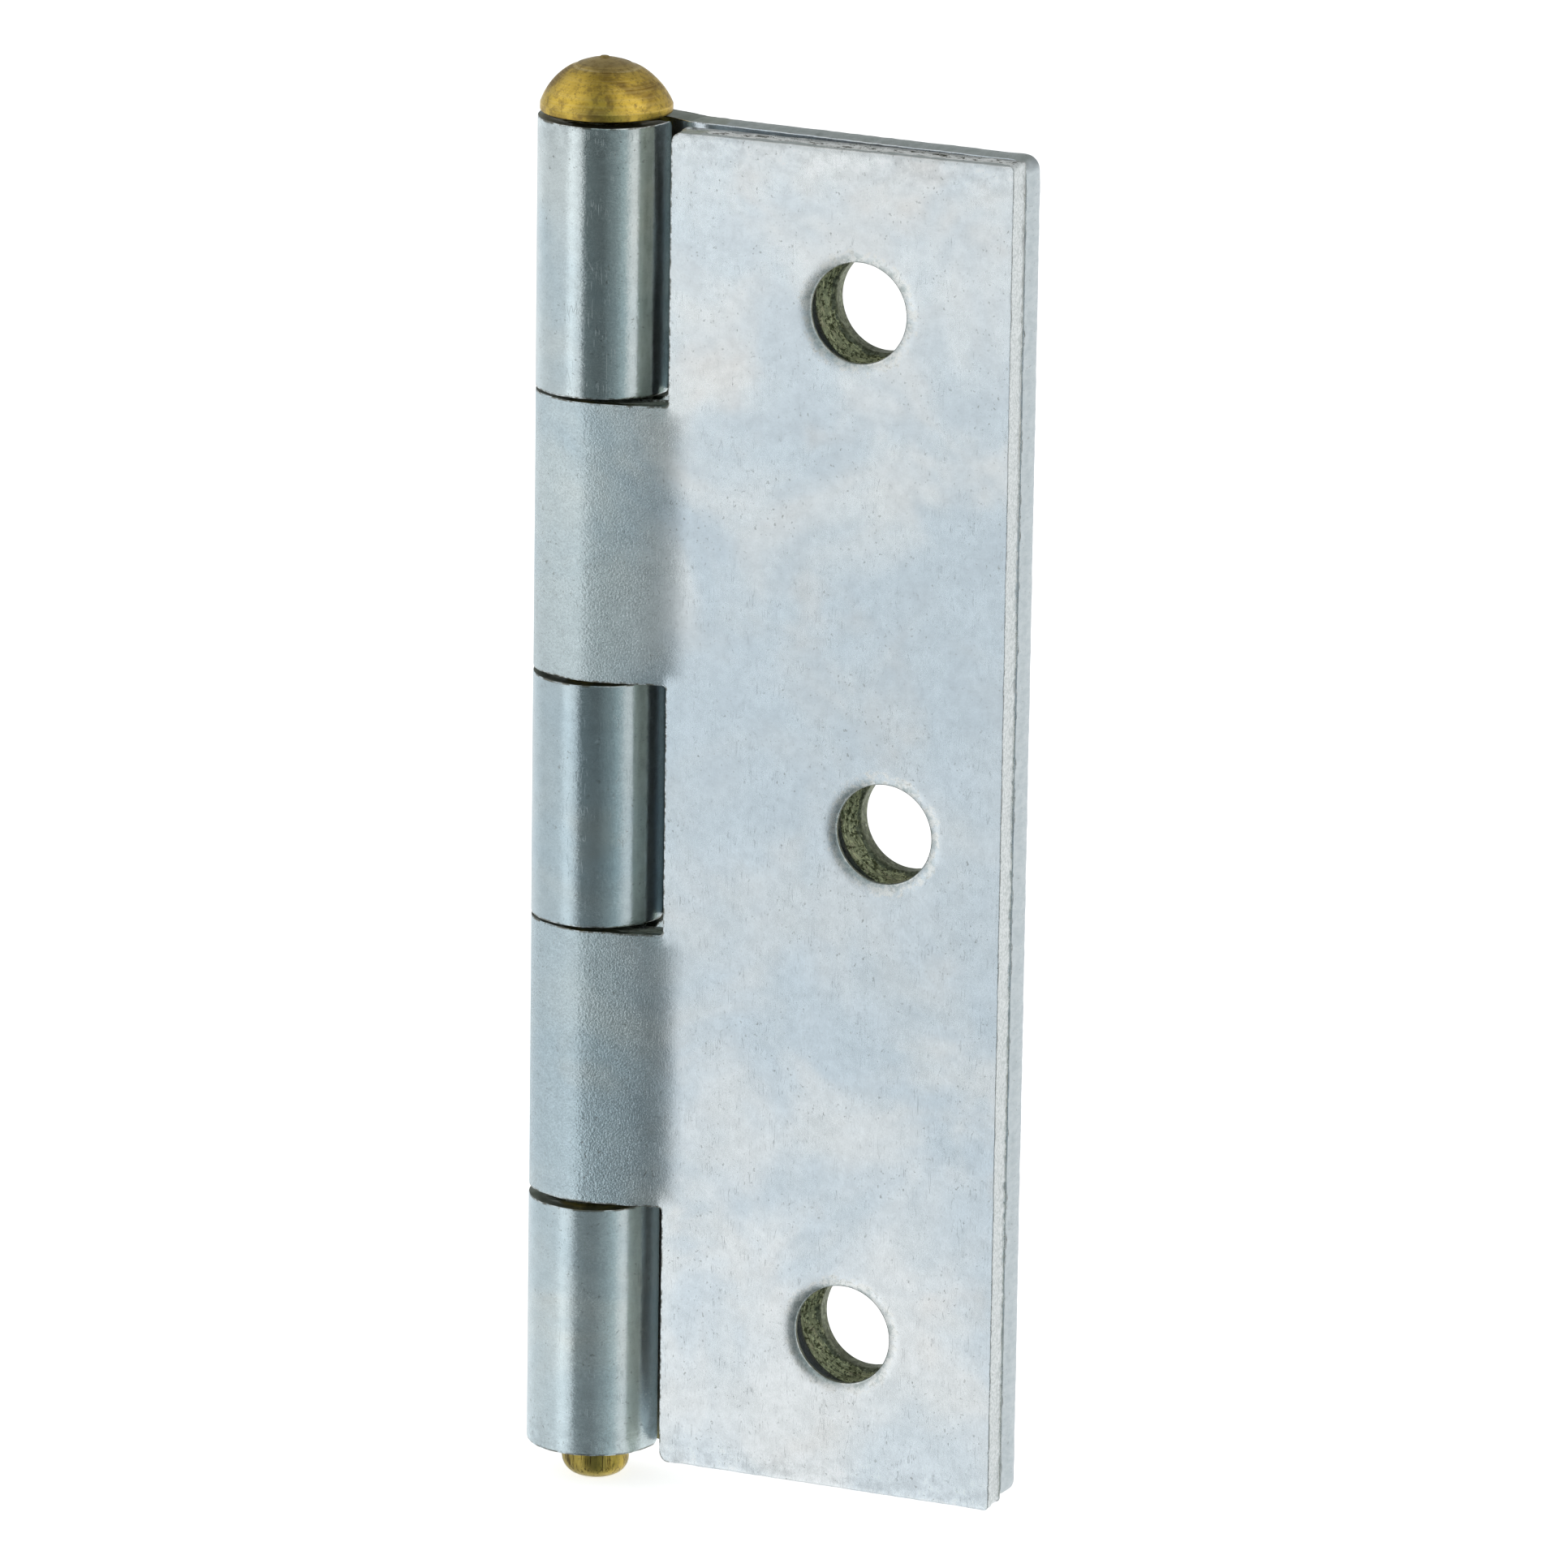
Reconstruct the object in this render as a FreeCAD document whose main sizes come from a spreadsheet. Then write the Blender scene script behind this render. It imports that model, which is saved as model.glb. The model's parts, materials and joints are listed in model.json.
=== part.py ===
import FreeCAD, Part
import math
import os
import Sketcher

# Butt hinge with a loose pin: two leaves pressed from one gauge of sheet steel, each with its own
# rolled knuckles, and a turned brass pin dropped in from above. The hinge is modelled closed.
#
# Row frame: +Z runs along the pin towards its head, +Y is the outward normal of the back leaf's
# mounting face, and the origin is midway between the back leaf's two outer screw holes on that face.
# Every body is drawn about the pin axis, from the lower end of the piece upwards.

DIMENSIONS = (
    ("leaf_height", 76.0),       # length of both leaves and of the whole barrel
    ("leaf_reach", 25.2),        # pin axis to the free edge
    ("sheet", 1.8),              # thickness of the pressed sheet
    ("face_offset", 0.8),        # pin axis to the plane of a leaf's inner face
    ("closed_angle", 3.5),       # how far past parallel the leaves close, until the free edges meet
    ("bore_radius", 1.98),       # inside of the rolled knuckles
    ("roll_end_angle", 12.0),    # where the roll's end stops, measured from the leaf's direction
    ("neck_reach", 5.3),         # pin axis to the line where the neck starts to rise to the barrel
    ("neck_radius", 2.0),        # hollow bend between the neck and the leaf's outer face
    ("notch_reach", 5.1),        # pin axis to the leaf's edge beside the other leaf's knuckles
    ("knuckle_five_top", 14.5),  # heights above the lower end, one knuckle after another
    ("knuckle_four_low", 14.85),
    ("knuckle_four_top", 30.65),
    ("knuckle_three_low", 30.8),
    ("knuckle_three_top", 44.7),
    ("knuckle_two_low", 44.85),
    ("knuckle_two_top", 60.65),
    ("knuckle_one_low", 60.8),
    ("screw_radius", 2.8),       # screw holes at the outer faces
    ("screw_spacing", 58.0),     # height between the outer screw holes
    ("screw_line", 16.2),        # pin axis to the outer screw holes
    ("middle_screw_line", 18.2), # pin axis to the staggered middle screw hole
    ("back_sink", 0.85),         # countersink depth on the back leaf
    ("front_sink", 1.5),         # countersink depth on the front leaf, cut nearly through
    ("free_corner", 0.9),        # corner radius at the free edge
    ("pin_radius", 1.9),
    ("tip_drop", 2.1),           # how far the pin stands out below the barrel
    ("tip_round", 0.6),
    ("head_gap", 0.25),          # slit between the top knuckle and the head
    ("head_radius", 3.66),
    ("rim_height", 0.4),         # straight side of the head below its dome
    ("dome_rise", 2.55),
    ("nub_radius", 0.3),         # small point left on the dome's crown by the turning tool
    ("nub_rise", 0.1),
)

SHEET = "dimensions"
ORIGIN = (-1, 1)                 # a sketch's own origin point
ROOT_AXIS = -2                   # a sketch's vertical axis
LENGTH_TOLERANCE = 0.01

doc = FreeCAD.newDocument("butt_hinge")
dimensions = doc.addObject("Spreadsheet::Sheet", SHEET)
for row, (alias, value) in enumerate(DIMENSIONS, start=1):
    dimensions.set(f"A{row}", alias)
    dimensions.set(f"B{row}", str(value))
    dimensions.setAlias(f"B{row}", alias)
doc.recompute()
size = dict(DIMENSIONS)


def ref(alias):
    """The expression that reads one dimension from the sheet."""
    return f"{SHEET}.{alias}"


def evaluate(expression):
    """The value of an expression in the sheet's dimensions, for a sketch's first drawing."""
    return float(doc.getObject(SHEET).evalExpression(expression.replace(f"{SHEET}.", "")))


def plane(body, role):
    """One of the body's own origin planes."""
    return next(feature for feature in body.Origin.OriginFeatures if feature.Role == role)


def new_sketch(body, name, role):
    """An empty sketch on one of the body's origin planes."""
    sketch = body.newObject("Sketcher::SketchObject", name)
    sketch.AttachmentSupport = [(plane(body, role), "")]
    sketch.MapMode = "FlatFace"
    return sketch


def point(across, up):
    return FreeCAD.Vector(across, up, 0)


def polar(radius, degrees):
    angle = math.radians(degrees)
    return point(radius * math.cos(angle), radius * math.sin(angle))


def arc(centre, radius, start, end):
    """A counterclockwise arc between two angles in degrees."""
    circle = Part.Circle(centre, FreeCAD.Vector(0, 0, 1), radius)
    return Part.ArcOfCircle(circle, math.radians(start), math.radians(end))


def line(start, end):
    return Part.LineSegment(start, end)


def bind(sketch, name, kind, elements, expression):
    """A named dimension of the sketch, driven by the sheet."""
    index = sketch.addConstraint(Sketcher.Constraint(kind, *elements, evaluate(expression)))
    sketch.renameConstraint(index, name)
    sketch.setExpression(f"Constraints.{name}", expression)


def rectangle(sketch, name, left, right, low, high):
    """A rectangle from `left` behind the origin to `right` ahead of it, between two heights."""
    corners = [(-evaluate(left), evaluate(low)), (evaluate(right), evaluate(low))]
    corners += [(evaluate(right), evaluate(high)), (-evaluate(left), evaluate(high))]
    first = sketch.GeometryCount
    for index, corner in enumerate(corners):
        sketch.addGeometry(line(point(*corner), point(*corners[(index + 1) % 4])), False)
    for index in range(4):
        following = first + (index + 1) % 4
        sketch.addConstraint(Sketcher.Constraint("Coincident", first + index, 2, following, 1))
        direction = "Horizontal" if index % 2 == 0 else "Vertical"
        sketch.addConstraint(Sketcher.Constraint(direction, first + index))
    bind(sketch, f"{name}_left", "DistanceX", (first, 1, *ORIGIN), left)
    bind(sketch, f"{name}_right", "DistanceX", (*ORIGIN, first, 2), right)
    bind(sketch, f"{name}_low", "DistanceY", (*ORIGIN, first, 2), low)
    bind(sketch, f"{name}_high", "DistanceY", (*ORIGIN, first + 2, 1), high)


def draw_leaf_profile(sketch):
    """The sheet's section: flat leaf, hollow neck and the roll about the pin, all one thickness."""
    bore = size["bore_radius"]
    barrel = bore + size["sheet"]
    inner = size["face_offset"]
    outer = inner + size["sheet"]
    reach = size["leaf_reach"]
    hollow = size["neck_radius"]
    bend = point(size["neck_reach"], outer + hollow)
    # The neck is straight, tangent to the barrel on one side and to the hollow bend on the other.
    lean = math.atan2(bend.x, bend.y) - math.acos((barrel + hollow) / bend.Length)
    normal = point(math.sin(lean), math.cos(lean))
    start = 90 - math.degrees(lean)
    end = 360 + size["roll_end_angle"]
    sketch.addGeometry(
        [
            arc(point(0, 0), barrel, start, end),
            line(polar(bore, end), polar(barrel, end)),
            arc(point(0, 0), bore, start, end),
            line(normal * bore, bend - normal * (hollow + size["sheet"])),
            arc(bend, hollow + size["sheet"], start + 180, 270),
            line(point(bend.x, inner), point(reach, inner)),
            line(point(reach, inner), point(reach, outer)),
            line(point(reach, outer), point(bend.x, outer)),
            arc(bend, hollow, start + 180, 270),
            line(bend - normal * hollow, normal * barrel),
        ],
        False,
    )
    outside, roll_end, inside, neck_in, bend_in, face_in, free_edge, face_out, bend_out, neck_out = range(10)
    join = Sketcher.Constraint
    sketch.addConstraint(
        [
            join("Coincident", outside, 3, *ORIGIN),
            join("Coincident", inside, 3, *ORIGIN),
            join("Coincident", bend_in, 3, bend_out, 3),
            join("Tangent", outside, 1, neck_out, 2),
            join("Tangent", inside, 1, neck_in, 1),
            join("Tangent", neck_in, 2, bend_in, 1),
            join("Tangent", bend_in, 2, face_in, 1),
            join("Tangent", face_out, 2, bend_out, 2),
            join("Tangent", bend_out, 1, neck_out, 1),
            join("Coincident", face_in, 2, free_edge, 1),
            join("Coincident", free_edge, 2, face_out, 1),
            join("Coincident", outside, 2, roll_end, 2),
            join("Coincident", roll_end, 1, inside, 2),
            join("Horizontal", face_in),
            join("Vertical", free_edge),
            join("Horizontal", face_out),
            join("PointOnObject", *ORIGIN, roll_end),
        ]
    )
    bind(sketch, "barrel", "Radius", (outside,), f"{ref('bore_radius')} + {ref('sheet')}")
    bind(sketch, "bore", "Radius", (inside,), ref("bore_radius"))
    bind(sketch, "hollow", "Radius", (bend_out,), ref("neck_radius"))
    bind(sketch, "neck", "DistanceX", (*ORIGIN, bend_out, 3), ref("neck_reach"))
    bind(sketch, "offset", "DistanceY", (*ORIGIN, face_in, 2), ref("face_offset"))
    bind(sketch, "thickness", "DistanceY", (free_edge, 1, free_edge, 2), ref("sheet"))
    bind(sketch, "reach", "DistanceX", (*ORIGIN, free_edge, 1), ref("leaf_reach"))
    sketch.addConstraint(Sketcher.Constraint("Angle", roll_end, math.radians(size["roll_end_angle"])))
    sketch.renameConstraint(sketch.ConstraintCount - 1, "roll_end")
    sketch.setExpression("Constraints.roll_end", f"{ref('roll_end_angle')} * 1 deg")


def screw_places():
    """Where each screw hole is: its distance from the pin axis and its height."""
    middle = f"{ref('leaf_height')} / 2"
    return (
        ("lower", ref("screw_line"), f"{middle} - {ref('screw_spacing')} / 2"),
        ("middle", ref("middle_screw_line"), middle),
        ("upper", ref("screw_line"), f"{middle} + {ref('screw_spacing')} / 2"),
    )


def cut_through(body, sketch, name):
    """Cut the sketch through the whole leaf, and make sure that it took material away."""
    before = body.Shape.Volume
    cut = body.newObject("PartDesign::Pocket", name)
    cut.Profile = sketch
    cut.Type = "ThroughAll"
    cut.SideType = "Symmetric"
    doc.recompute()
    if body.Shape.Volume > before - LENGTH_TOLERANCE:
        raise RuntimeError(f"{body.Label}: {name} removed nothing")


def edge_names(shape, wanted):
    return [f"Edge{index}" for index, edge in enumerate(shape.Edges, start=1) if wanted(edge)]


def is_free_corner(edge):
    """A straight edge through the sheet's thickness, at the leaf's free edge."""
    if edge.Curve.TypeId != "Part::GeomLine":
        return False
    through_sheet = abs(abs(edge.Curve.Direction.y) - 1) < LENGTH_TOLERANCE
    return through_sheet and abs(edge.CenterOfMass.x - size["leaf_reach"]) < LENGTH_TOLERANCE


def is_screw_rim(edge):
    """The rim of a screw hole on the leaf's inner face."""
    if edge.Curve.TypeId != "Part::GeomCircle":
        return False
    on_inner_face = abs(edge.Curve.Center.y - size["face_offset"]) < LENGTH_TOLERANCE
    return on_inner_face and abs(edge.Curve.Radius - size["screw_radius"]) < LENGTH_TOLERANCE


def dress(body, kind, name, edges, sized, expression):
    """A fillet or chamfer on the given edges of the body so far."""
    feature = body.newObject(kind, name)
    feature.Base = (feature.BaseFeature, edges)
    feature.setExpression(sized, expression)
    body.Tip = feature
    doc.recompute()


def make_leaf(label, notches, sink):
    """One leaf: the rolled sheet, cut away beside the other leaf's knuckles, drilled and countersunk."""
    body = doc.addObject("PartDesign::Body", label)
    profile = new_sketch(body, f"{label}_profile", "XY_Plane")
    draw_leaf_profile(profile)
    blank = body.newObject("PartDesign::Pad", f"{label}_blank")
    blank.Profile = profile
    blank.setExpression("Length", ref("leaf_height"))
    doc.recompute()

    notch_sketch = new_sketch(body, f"{label}_notch_outline", "XZ_Plane")
    behind = f"{ref('leaf_reach')} / 2"
    for number, (low, high) in enumerate(notches, start=1):
        rectangle(notch_sketch, f"notch_{number}", behind, ref("notch_reach"), low, high)
    cut_through(body, notch_sketch, f"{label}_notches")

    hole_sketch = new_sketch(body, f"{label}_screw_places", "XZ_Plane")
    for index, (name, across, height) in enumerate(screw_places()):
        centre = point(evaluate(across), evaluate(height))
        hole_sketch.addGeometry(Part.Circle(centre, FreeCAD.Vector(0, 0, 1), size["screw_radius"]), False)
        bind(hole_sketch, f"{name}_radius", "Radius", (index,), ref("screw_radius"))
        bind(hole_sketch, f"{name}_across", "DistanceX", (*ORIGIN, index, 3), across)
        bind(hole_sketch, f"{name}_height", "DistanceY", (*ORIGIN, index, 3), height)
    cut_through(body, hole_sketch, f"{label}_screw_holes")

    corners = edge_names(body.Shape, is_free_corner)
    dress(body, "PartDesign::Fillet", f"{label}_corners", corners, "Radius", ref("free_corner"))
    rims = edge_names(body.Shape, is_screw_rim)
    dress(body, "PartDesign::Chamfer", f"{label}_countersinks", rims, "Size", ref(sink))
    return body


def make_back_leaf():
    """The leaf with knuckles one, three and five, counted from the pin's head."""
    notches = (
        (ref("knuckle_five_top"), ref("knuckle_three_low")),
        (ref("knuckle_three_top"), ref("knuckle_one_low")),
    )
    body = make_leaf("back_leaf", notches, "back_sink")
    body.setExpression(".Placement.Base.x", f"-{ref('screw_line')}")
    body.setExpression(".Placement.Base.y", f"-({ref('face_offset')} + {ref('sheet')})")
    body.setExpression(".Placement.Base.z", f"-{ref('leaf_height')} / 2")
    return body


def make_front_leaf():
    """The leaf with knuckles two and four: the same pressing turned end over end, so its heights
    are measured from the upper end of the hinge, and swung shut about the pin."""
    height = ref("leaf_height")
    notches = (
        (f"{height} - {height}", f"{height} - {ref('knuckle_two_top')}"),
        (f"{height} - {ref('knuckle_two_low')}", f"{height} - {ref('knuckle_four_top')}"),
        (f"{height} - {ref('knuckle_four_low')}", height),
    )
    body = make_leaf("front_leaf", notches, "front_sink")
    half_swing = math.radians(size["closed_angle"] / 2)
    turn_axis = FreeCAD.Vector(math.cos(half_swing), math.sin(half_swing), 0)
    body.Placement.Rotation = FreeCAD.Rotation(turn_axis, 180)
    body.setExpression(".Placement.Base.x", f"-{ref('screw_line')}")
    body.setExpression(".Placement.Base.y", f"-({ref('face_offset')} + {ref('sheet')})")
    body.setExpression(".Placement.Base.z", f"{height} / 2")
    return body


def make_pin():
    """The turned pin: rounded tip, straight shank and a domed head with a small point on its crown."""
    shank_length = size["tip_drop"] + size["leaf_height"] + size["head_gap"]
    shank = size["pin_radius"]
    tip = size["tip_round"]
    head = size["head_radius"]
    rise = size["dome_rise"]
    nub = size["nub_radius"]
    dome_radius = (head**2 + rise**2) / (2 * rise)
    dome_base = shank_length + size["rim_height"]
    dome_centre = point(0, dome_base + rise - dome_radius)
    nub_foot = dome_centre.y + math.sqrt(dome_radius**2 - nub**2)
    nub_top = nub_foot + size["nub_rise"]
    rim_angle = math.degrees(math.atan2(dome_base - dome_centre.y, head))
    foot_angle = math.degrees(math.atan2(nub_foot - dome_centre.y, nub))

    body = doc.addObject("PartDesign::Body", "hinge_pin")
    sketch = new_sketch(body, "pin_profile", "XZ_Plane")
    sketch.addGeometry(
        [
            line(point(0, 0), point(shank - tip, 0)),
            arc(point(shank - tip, tip), tip, 270, 360),
            line(point(shank, tip), point(shank, shank_length)),
            line(point(shank, shank_length), point(head, shank_length)),
            line(point(head, shank_length), point(head, dome_base)),
            arc(dome_centre, dome_radius, rim_angle, foot_angle),
            line(point(nub, nub_foot), point(nub / 2, nub_top)),
            line(point(nub / 2, nub_top), point(0, nub_top)),
            line(point(0, nub_top), point(0, 0)),
        ],
        False,
    )
    end_face, tip_arc, side, under_head, rim, dome, nub_side, nub_face, core = range(9)
    join = Sketcher.Constraint
    sketch.addConstraint(
        [
            join("Coincident", end_face, 1, *ORIGIN),
            join("Horizontal", end_face),
            join("Tangent", end_face, 2, tip_arc, 1),
            join("Tangent", tip_arc, 2, side, 1),
            join("Vertical", side),
            join("Coincident", side, 2, under_head, 1),
            join("Horizontal", under_head),
            join("Coincident", under_head, 2, rim, 1),
            join("Vertical", rim),
            join("Coincident", rim, 2, dome, 1),
            join("PointOnObject", dome, 3, ROOT_AXIS),
            join("Coincident", dome, 2, nub_side, 1),
            join("Coincident", nub_side, 2, nub_face, 1),
            join("Horizontal", nub_face),
            join("Coincident", nub_face, 2, core, 1),
            join("Coincident", core, 2, *ORIGIN),
            join("Vertical", core),
        ]
    )
    length = f"{ref('tip_drop')} + {ref('leaf_height')} + {ref('head_gap')}"
    dome_expression = f"({ref('head_radius')}^2 + {ref('dome_rise')}^2) / (2 * {ref('dome_rise')})"
    bind(sketch, "tip_round", "Radius", (tip_arc,), ref("tip_round"))
    bind(sketch, "shank", "DistanceX", (*ORIGIN, side, 2), ref("pin_radius"))
    bind(sketch, "shank_length", "DistanceY", (*ORIGIN, side, 2), length)
    bind(sketch, "head", "DistanceX", (*ORIGIN, rim, 1), ref("head_radius"))
    bind(sketch, "rim", "DistanceY", (rim, 1, rim, 2), ref("rim_height"))
    bind(sketch, "dome", "Radius", (dome,), dome_expression)
    bind(sketch, "nub", "DistanceX", (*ORIGIN, nub_side, 1), ref("nub_radius"))
    bind(sketch, "nub_face", "DistanceX", (*ORIGIN, nub_side, 2), f"{ref('nub_radius')} / 2")
    bind(sketch, "nub_rise", "DistanceY", (nub_side, 1, nub_side, 2), ref("nub_rise"))
    turned = body.newObject("PartDesign::Revolution", "turned_pin")
    turned.Profile = sketch
    turned.ReferenceAxis = (sketch, ["V_Axis"])
    turned.Angle = 360
    doc.recompute()
    body.setExpression(".Placement.Base.x", f"-{ref('screw_line')}")
    body.setExpression(".Placement.Base.y", f"-({ref('face_offset')} + {ref('sheet')})")
    body.setExpression(".Placement.Base.z", f"-({ref('leaf_height')} / 2 + {ref('tip_drop')})")
    return body


def check(bodies):
    """Stop before writing anything if a feature failed or a solid isn't whole."""
    for item in doc.Objects:
        if "Invalid" in item.State or "Error" in item.State:
            raise RuntimeError(f"{item.Label}: {item.State}")
    for body in bodies:
        if body.Shape.isNull() or not body.Shape.isValid() or len(body.Shape.Solids) != 1:
            raise RuntimeError(f"{body.Label}: not one valid solid")


parts = [make_back_leaf(), make_front_leaf(), make_pin()]
doc.recompute()
check(parts)
os.makedirs("parts", exist_ok=True)
for part in parts:
    part.Shape.exportStep(f"parts/{part.Label}.step")
    box = part.Shape.BoundBox
    print(f"{part.Label}: {part.Shape.Volume:.1f} mm3, z {box.ZMin:.2f} to {box.ZMax:.2f}")
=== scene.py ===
import json
import math
from typing import NamedTuple

import bmesh
import bpy
import numpy as np
from mathutils import Matrix, Vector, geometry, kdtree, noise


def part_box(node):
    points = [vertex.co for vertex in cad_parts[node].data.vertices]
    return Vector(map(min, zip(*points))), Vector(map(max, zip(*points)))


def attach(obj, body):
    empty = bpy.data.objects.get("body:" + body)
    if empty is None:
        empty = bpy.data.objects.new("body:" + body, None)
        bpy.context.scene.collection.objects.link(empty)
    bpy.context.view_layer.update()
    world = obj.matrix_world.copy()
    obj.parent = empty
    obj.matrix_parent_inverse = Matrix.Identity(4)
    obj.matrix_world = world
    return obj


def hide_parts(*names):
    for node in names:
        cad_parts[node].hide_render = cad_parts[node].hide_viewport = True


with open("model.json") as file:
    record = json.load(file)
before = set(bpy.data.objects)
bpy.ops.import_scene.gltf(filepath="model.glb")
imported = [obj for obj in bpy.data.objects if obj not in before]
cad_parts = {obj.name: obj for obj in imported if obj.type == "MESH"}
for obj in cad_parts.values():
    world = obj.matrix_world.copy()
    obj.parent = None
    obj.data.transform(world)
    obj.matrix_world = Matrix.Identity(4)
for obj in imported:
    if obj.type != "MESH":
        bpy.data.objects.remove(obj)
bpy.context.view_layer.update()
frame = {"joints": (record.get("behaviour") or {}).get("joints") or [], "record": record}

# Looks of a zinc-plated butt hinge with a loose brass pin. Lengths are in millimetres up to the
# moment a mesh is placed in the row frame, which is in metres.
MM = 0.001

# ---- sizes
SWING = next(joint for joint in frame["joints"] if joint["name"] == "leaf_swing")
BACK_LOW, BACK_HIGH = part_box("back_leaf")
PIN_LOW, PIN_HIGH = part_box("hinge_pin")
AXIS = Vector(SWING["pos_m"]) / MM  # the pin's axis at mid height
HEIGHT = (BACK_HIGH.z - BACK_LOW.z) / MM  # both leaves and the barrel
BARREL = AXIS.x - BACK_LOW.x / MM  # outside radius of the knuckles
REACH = BACK_HIGH.x / MM - AXIS.x  # pin axis to the free edge
OUTER = -AXIS.y  # pin axis to a leaf's outer face

THICK = 1.8  # the pressed sheet
HALF = THICK / 2
BORE = BARREL - THICK
CLOSED_TURN = math.radians(3.5)  # the leaves close past parallel until they touch
ROLL_END = math.radians(372)  # where the roll stops, going round from the leaf
NECK_REACH = 6.4  # pin axis to where the neck's hollow bend ends
NECK_HOLLOW = 8.5  # radius of that bend on the outer side
NOTCH_ROUND = 0.22  # inner corners of the notches
NOTCH_CORNER = 0.65  # the plate's corners beside an end notch
KNUCKLE_ROUND = 0.5  # corners of the tabs that are rolled up
KNUCKLES = ((0, 14.5), (14.85, 30.65), (30.8, 44.7), (44.85, 60.65), (60.8, HEIGHT))

SCREWS = next(mount for mount in frame["record"]["mounts"] if mount["name"] == "back_leaf_screws")
SCREW_RADIUS = SCREWS["dims"]["hole_r_mm"]
SCREW_RISE = SCREWS["dims"]["spacing_y_mm"] / 2
SCREW_LINE = 16.2  # pin axis to the outer screw holes
MIDDLE_SCREW_LINE = 18.2
SCREW_PLACES = (
    (SCREW_LINE, HEIGHT / 2 - SCREW_RISE),
    (MIDDLE_SCREW_LINE, HEIGHT / 2),
    (SCREW_LINE, HEIGHT / 2 + SCREW_RISE),
)

# ---- the sheet and its unrolling
MIDDLE_RADIUS = BORE + HALF  # of the roll's middle line
BEND = np.array((NECK_REACH, OUTER + NECK_HOLLOW))  # centre of the hollow bend, from the axis
BEND_RADIUS = NECK_HOLLOW + HALF
# how far the straight neck leans over
LEAN = math.atan2(*BEND) - math.acos((MIDDLE_RADIUS + BEND_RADIUS) / np.hypot(*BEND))
BARREL_LENGTH = MIDDLE_RADIUS * (ROLL_END - (math.pi / 2 - LEAN))
NECK_LENGTH = math.sqrt(BEND @ BEND - (MIDDLE_RADIUS + BEND_RADIUS) ** 2)
BEND_START = BARREL_LENGTH + NECK_LENGTH
FLAT_START = BEND_START + BEND_RADIUS * LEAN
SHEET_LENGTH = FLAT_START + REACH - NECK_REACH


def section(along, offset):
    """Where the rolled sheet is at a distance along its middle line, counted from the end of the
    roll, and at an offset towards its outer face."""
    turned = ROLL_END - along / MIDDLE_RADIUS
    leaning = np.clip(LEAN - (along - BEND_START) / BEND_RADIUS, 0, LEAN)
    on_barrel = along < BARREL_LENGTH
    on_neck = along < BEND_START
    normal_across = np.where(on_barrel, np.cos(turned), np.sin(leaning))
    normal_out = np.where(on_barrel, np.sin(turned), np.cos(leaning))
    down_neck = along - BARREL_LENGTH
    neck_across = MIDDLE_RADIUS * math.sin(LEAN) + down_neck * math.cos(LEAN)
    neck_out = MIDDLE_RADIUS * math.cos(LEAN) - down_neck * math.sin(LEAN)
    bend_across = BEND[0] - BEND_RADIUS * normal_across + np.maximum(along - FLAT_START, 0)
    bend_out = BEND[1] - BEND_RADIUS * normal_out
    past_barrel_across = np.where(on_neck, neck_across, bend_across)
    past_barrel_out = np.where(on_neck, neck_out, bend_out)
    across = np.where(on_barrel, MIDDLE_RADIUS * normal_across, past_barrel_across)
    out = np.where(on_barrel, MIDDLE_RADIUS * normal_out, past_barrel_out)
    return across + normal_across * offset, out + normal_out * offset


def notch_place(reach):
    """Distance along the sheet of a notch's edge, which lies in the hollow bend."""
    return FLAT_START - BEND_RADIUS * math.asin((NECK_REACH - reach) / BEND_RADIUS)


def flat_place(reach):
    """Distance along the sheet of a point on its flat part, given its reach from the pin axis."""
    return FLAT_START + reach - NECK_REACH


# ---- outlines and rims
EDGE_STEP = 0.22  # spacing of points along the sheared edges


def left_of(direction):
    """A direction turned a quarter turn to the left."""
    return np.array((-direction[1], direction[0]))


def rounded_outline(corners):
    """Points and inward normals of a closed, right-angled outline whose corners are given as (x, y,
    radius). The sheet lies to its left."""
    points = []
    normals = []
    for index, (x, y, radius) in enumerate(corners):
        corner = np.array((x, y))
        following = corners[(index + 1) % len(corners)]
        arriving = corner - np.array(corners[index - 1][:2])
        arriving = arriving / np.linalg.norm(arriving)
        leaving = np.array(following[:2]) - corner
        length = np.linalg.norm(leaving)
        leaving = leaving / length
        turn = arriving[0] * leaving[1] - arriving[1] * leaving[0]
        inward = left_of(arriving)
        centre = corner - arriving * radius + inward * radius * turn
        steps = max(4, math.ceil(radius * math.pi / 2 / (EDGE_STEP / 2)))
        for step in range(steps + 1):
            angle = turn * math.pi / 2 * step / steps
            normal = math.cos(angle) * inward + math.sin(angle) * left_of(inward)
            points.append(centre - normal * radius * turn)
            normals.append(normal)
        start = corner + leaving * radius
        run = length - radius - following[2]
        pieces = math.ceil(run / EDGE_STEP)
        for piece in range(1, pieces):
            points.append(start + leaving * run * piece / pieces)
            normals.append(left_of(leaving))
    return np.array(points), np.array(normals)


def circle_outline(centre, radius, count):
    """Points and normals of a hole, clockwise so that the sheet is again on the left."""
    angles = -np.arange(count) * 2 * math.pi / count
    away = np.stack((np.cos(angles), np.sin(angles)), 1)
    return np.array(centre) + away * radius, away


def inside(points, outline):
    """Which points lie inside a closed outline, by counting crossings."""
    crossings = np.zeros(len(points), bool)
    following = np.roll(outline, -1, axis=0)
    for (x0, y0), (x1, y1) in zip(outline, following):
        if y0 == y1:
            continue
        spans = (points[:, 1] >= min(y0, y1)) & (points[:, 1] < max(y0, y1))
        meets = x0 + (points[:, 1] - y0) * (x1 - x0) / (y1 - y0)
        crossings ^= spans & (points[:, 0] < meets)
    return crossings


def on_sheet(points, outline, holes):
    """Which points lie inside the outline and outside the holes."""
    kept = inside(points, outline)
    for hole in holes:
        kept &= ~inside(points, hole)
    return kept


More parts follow.
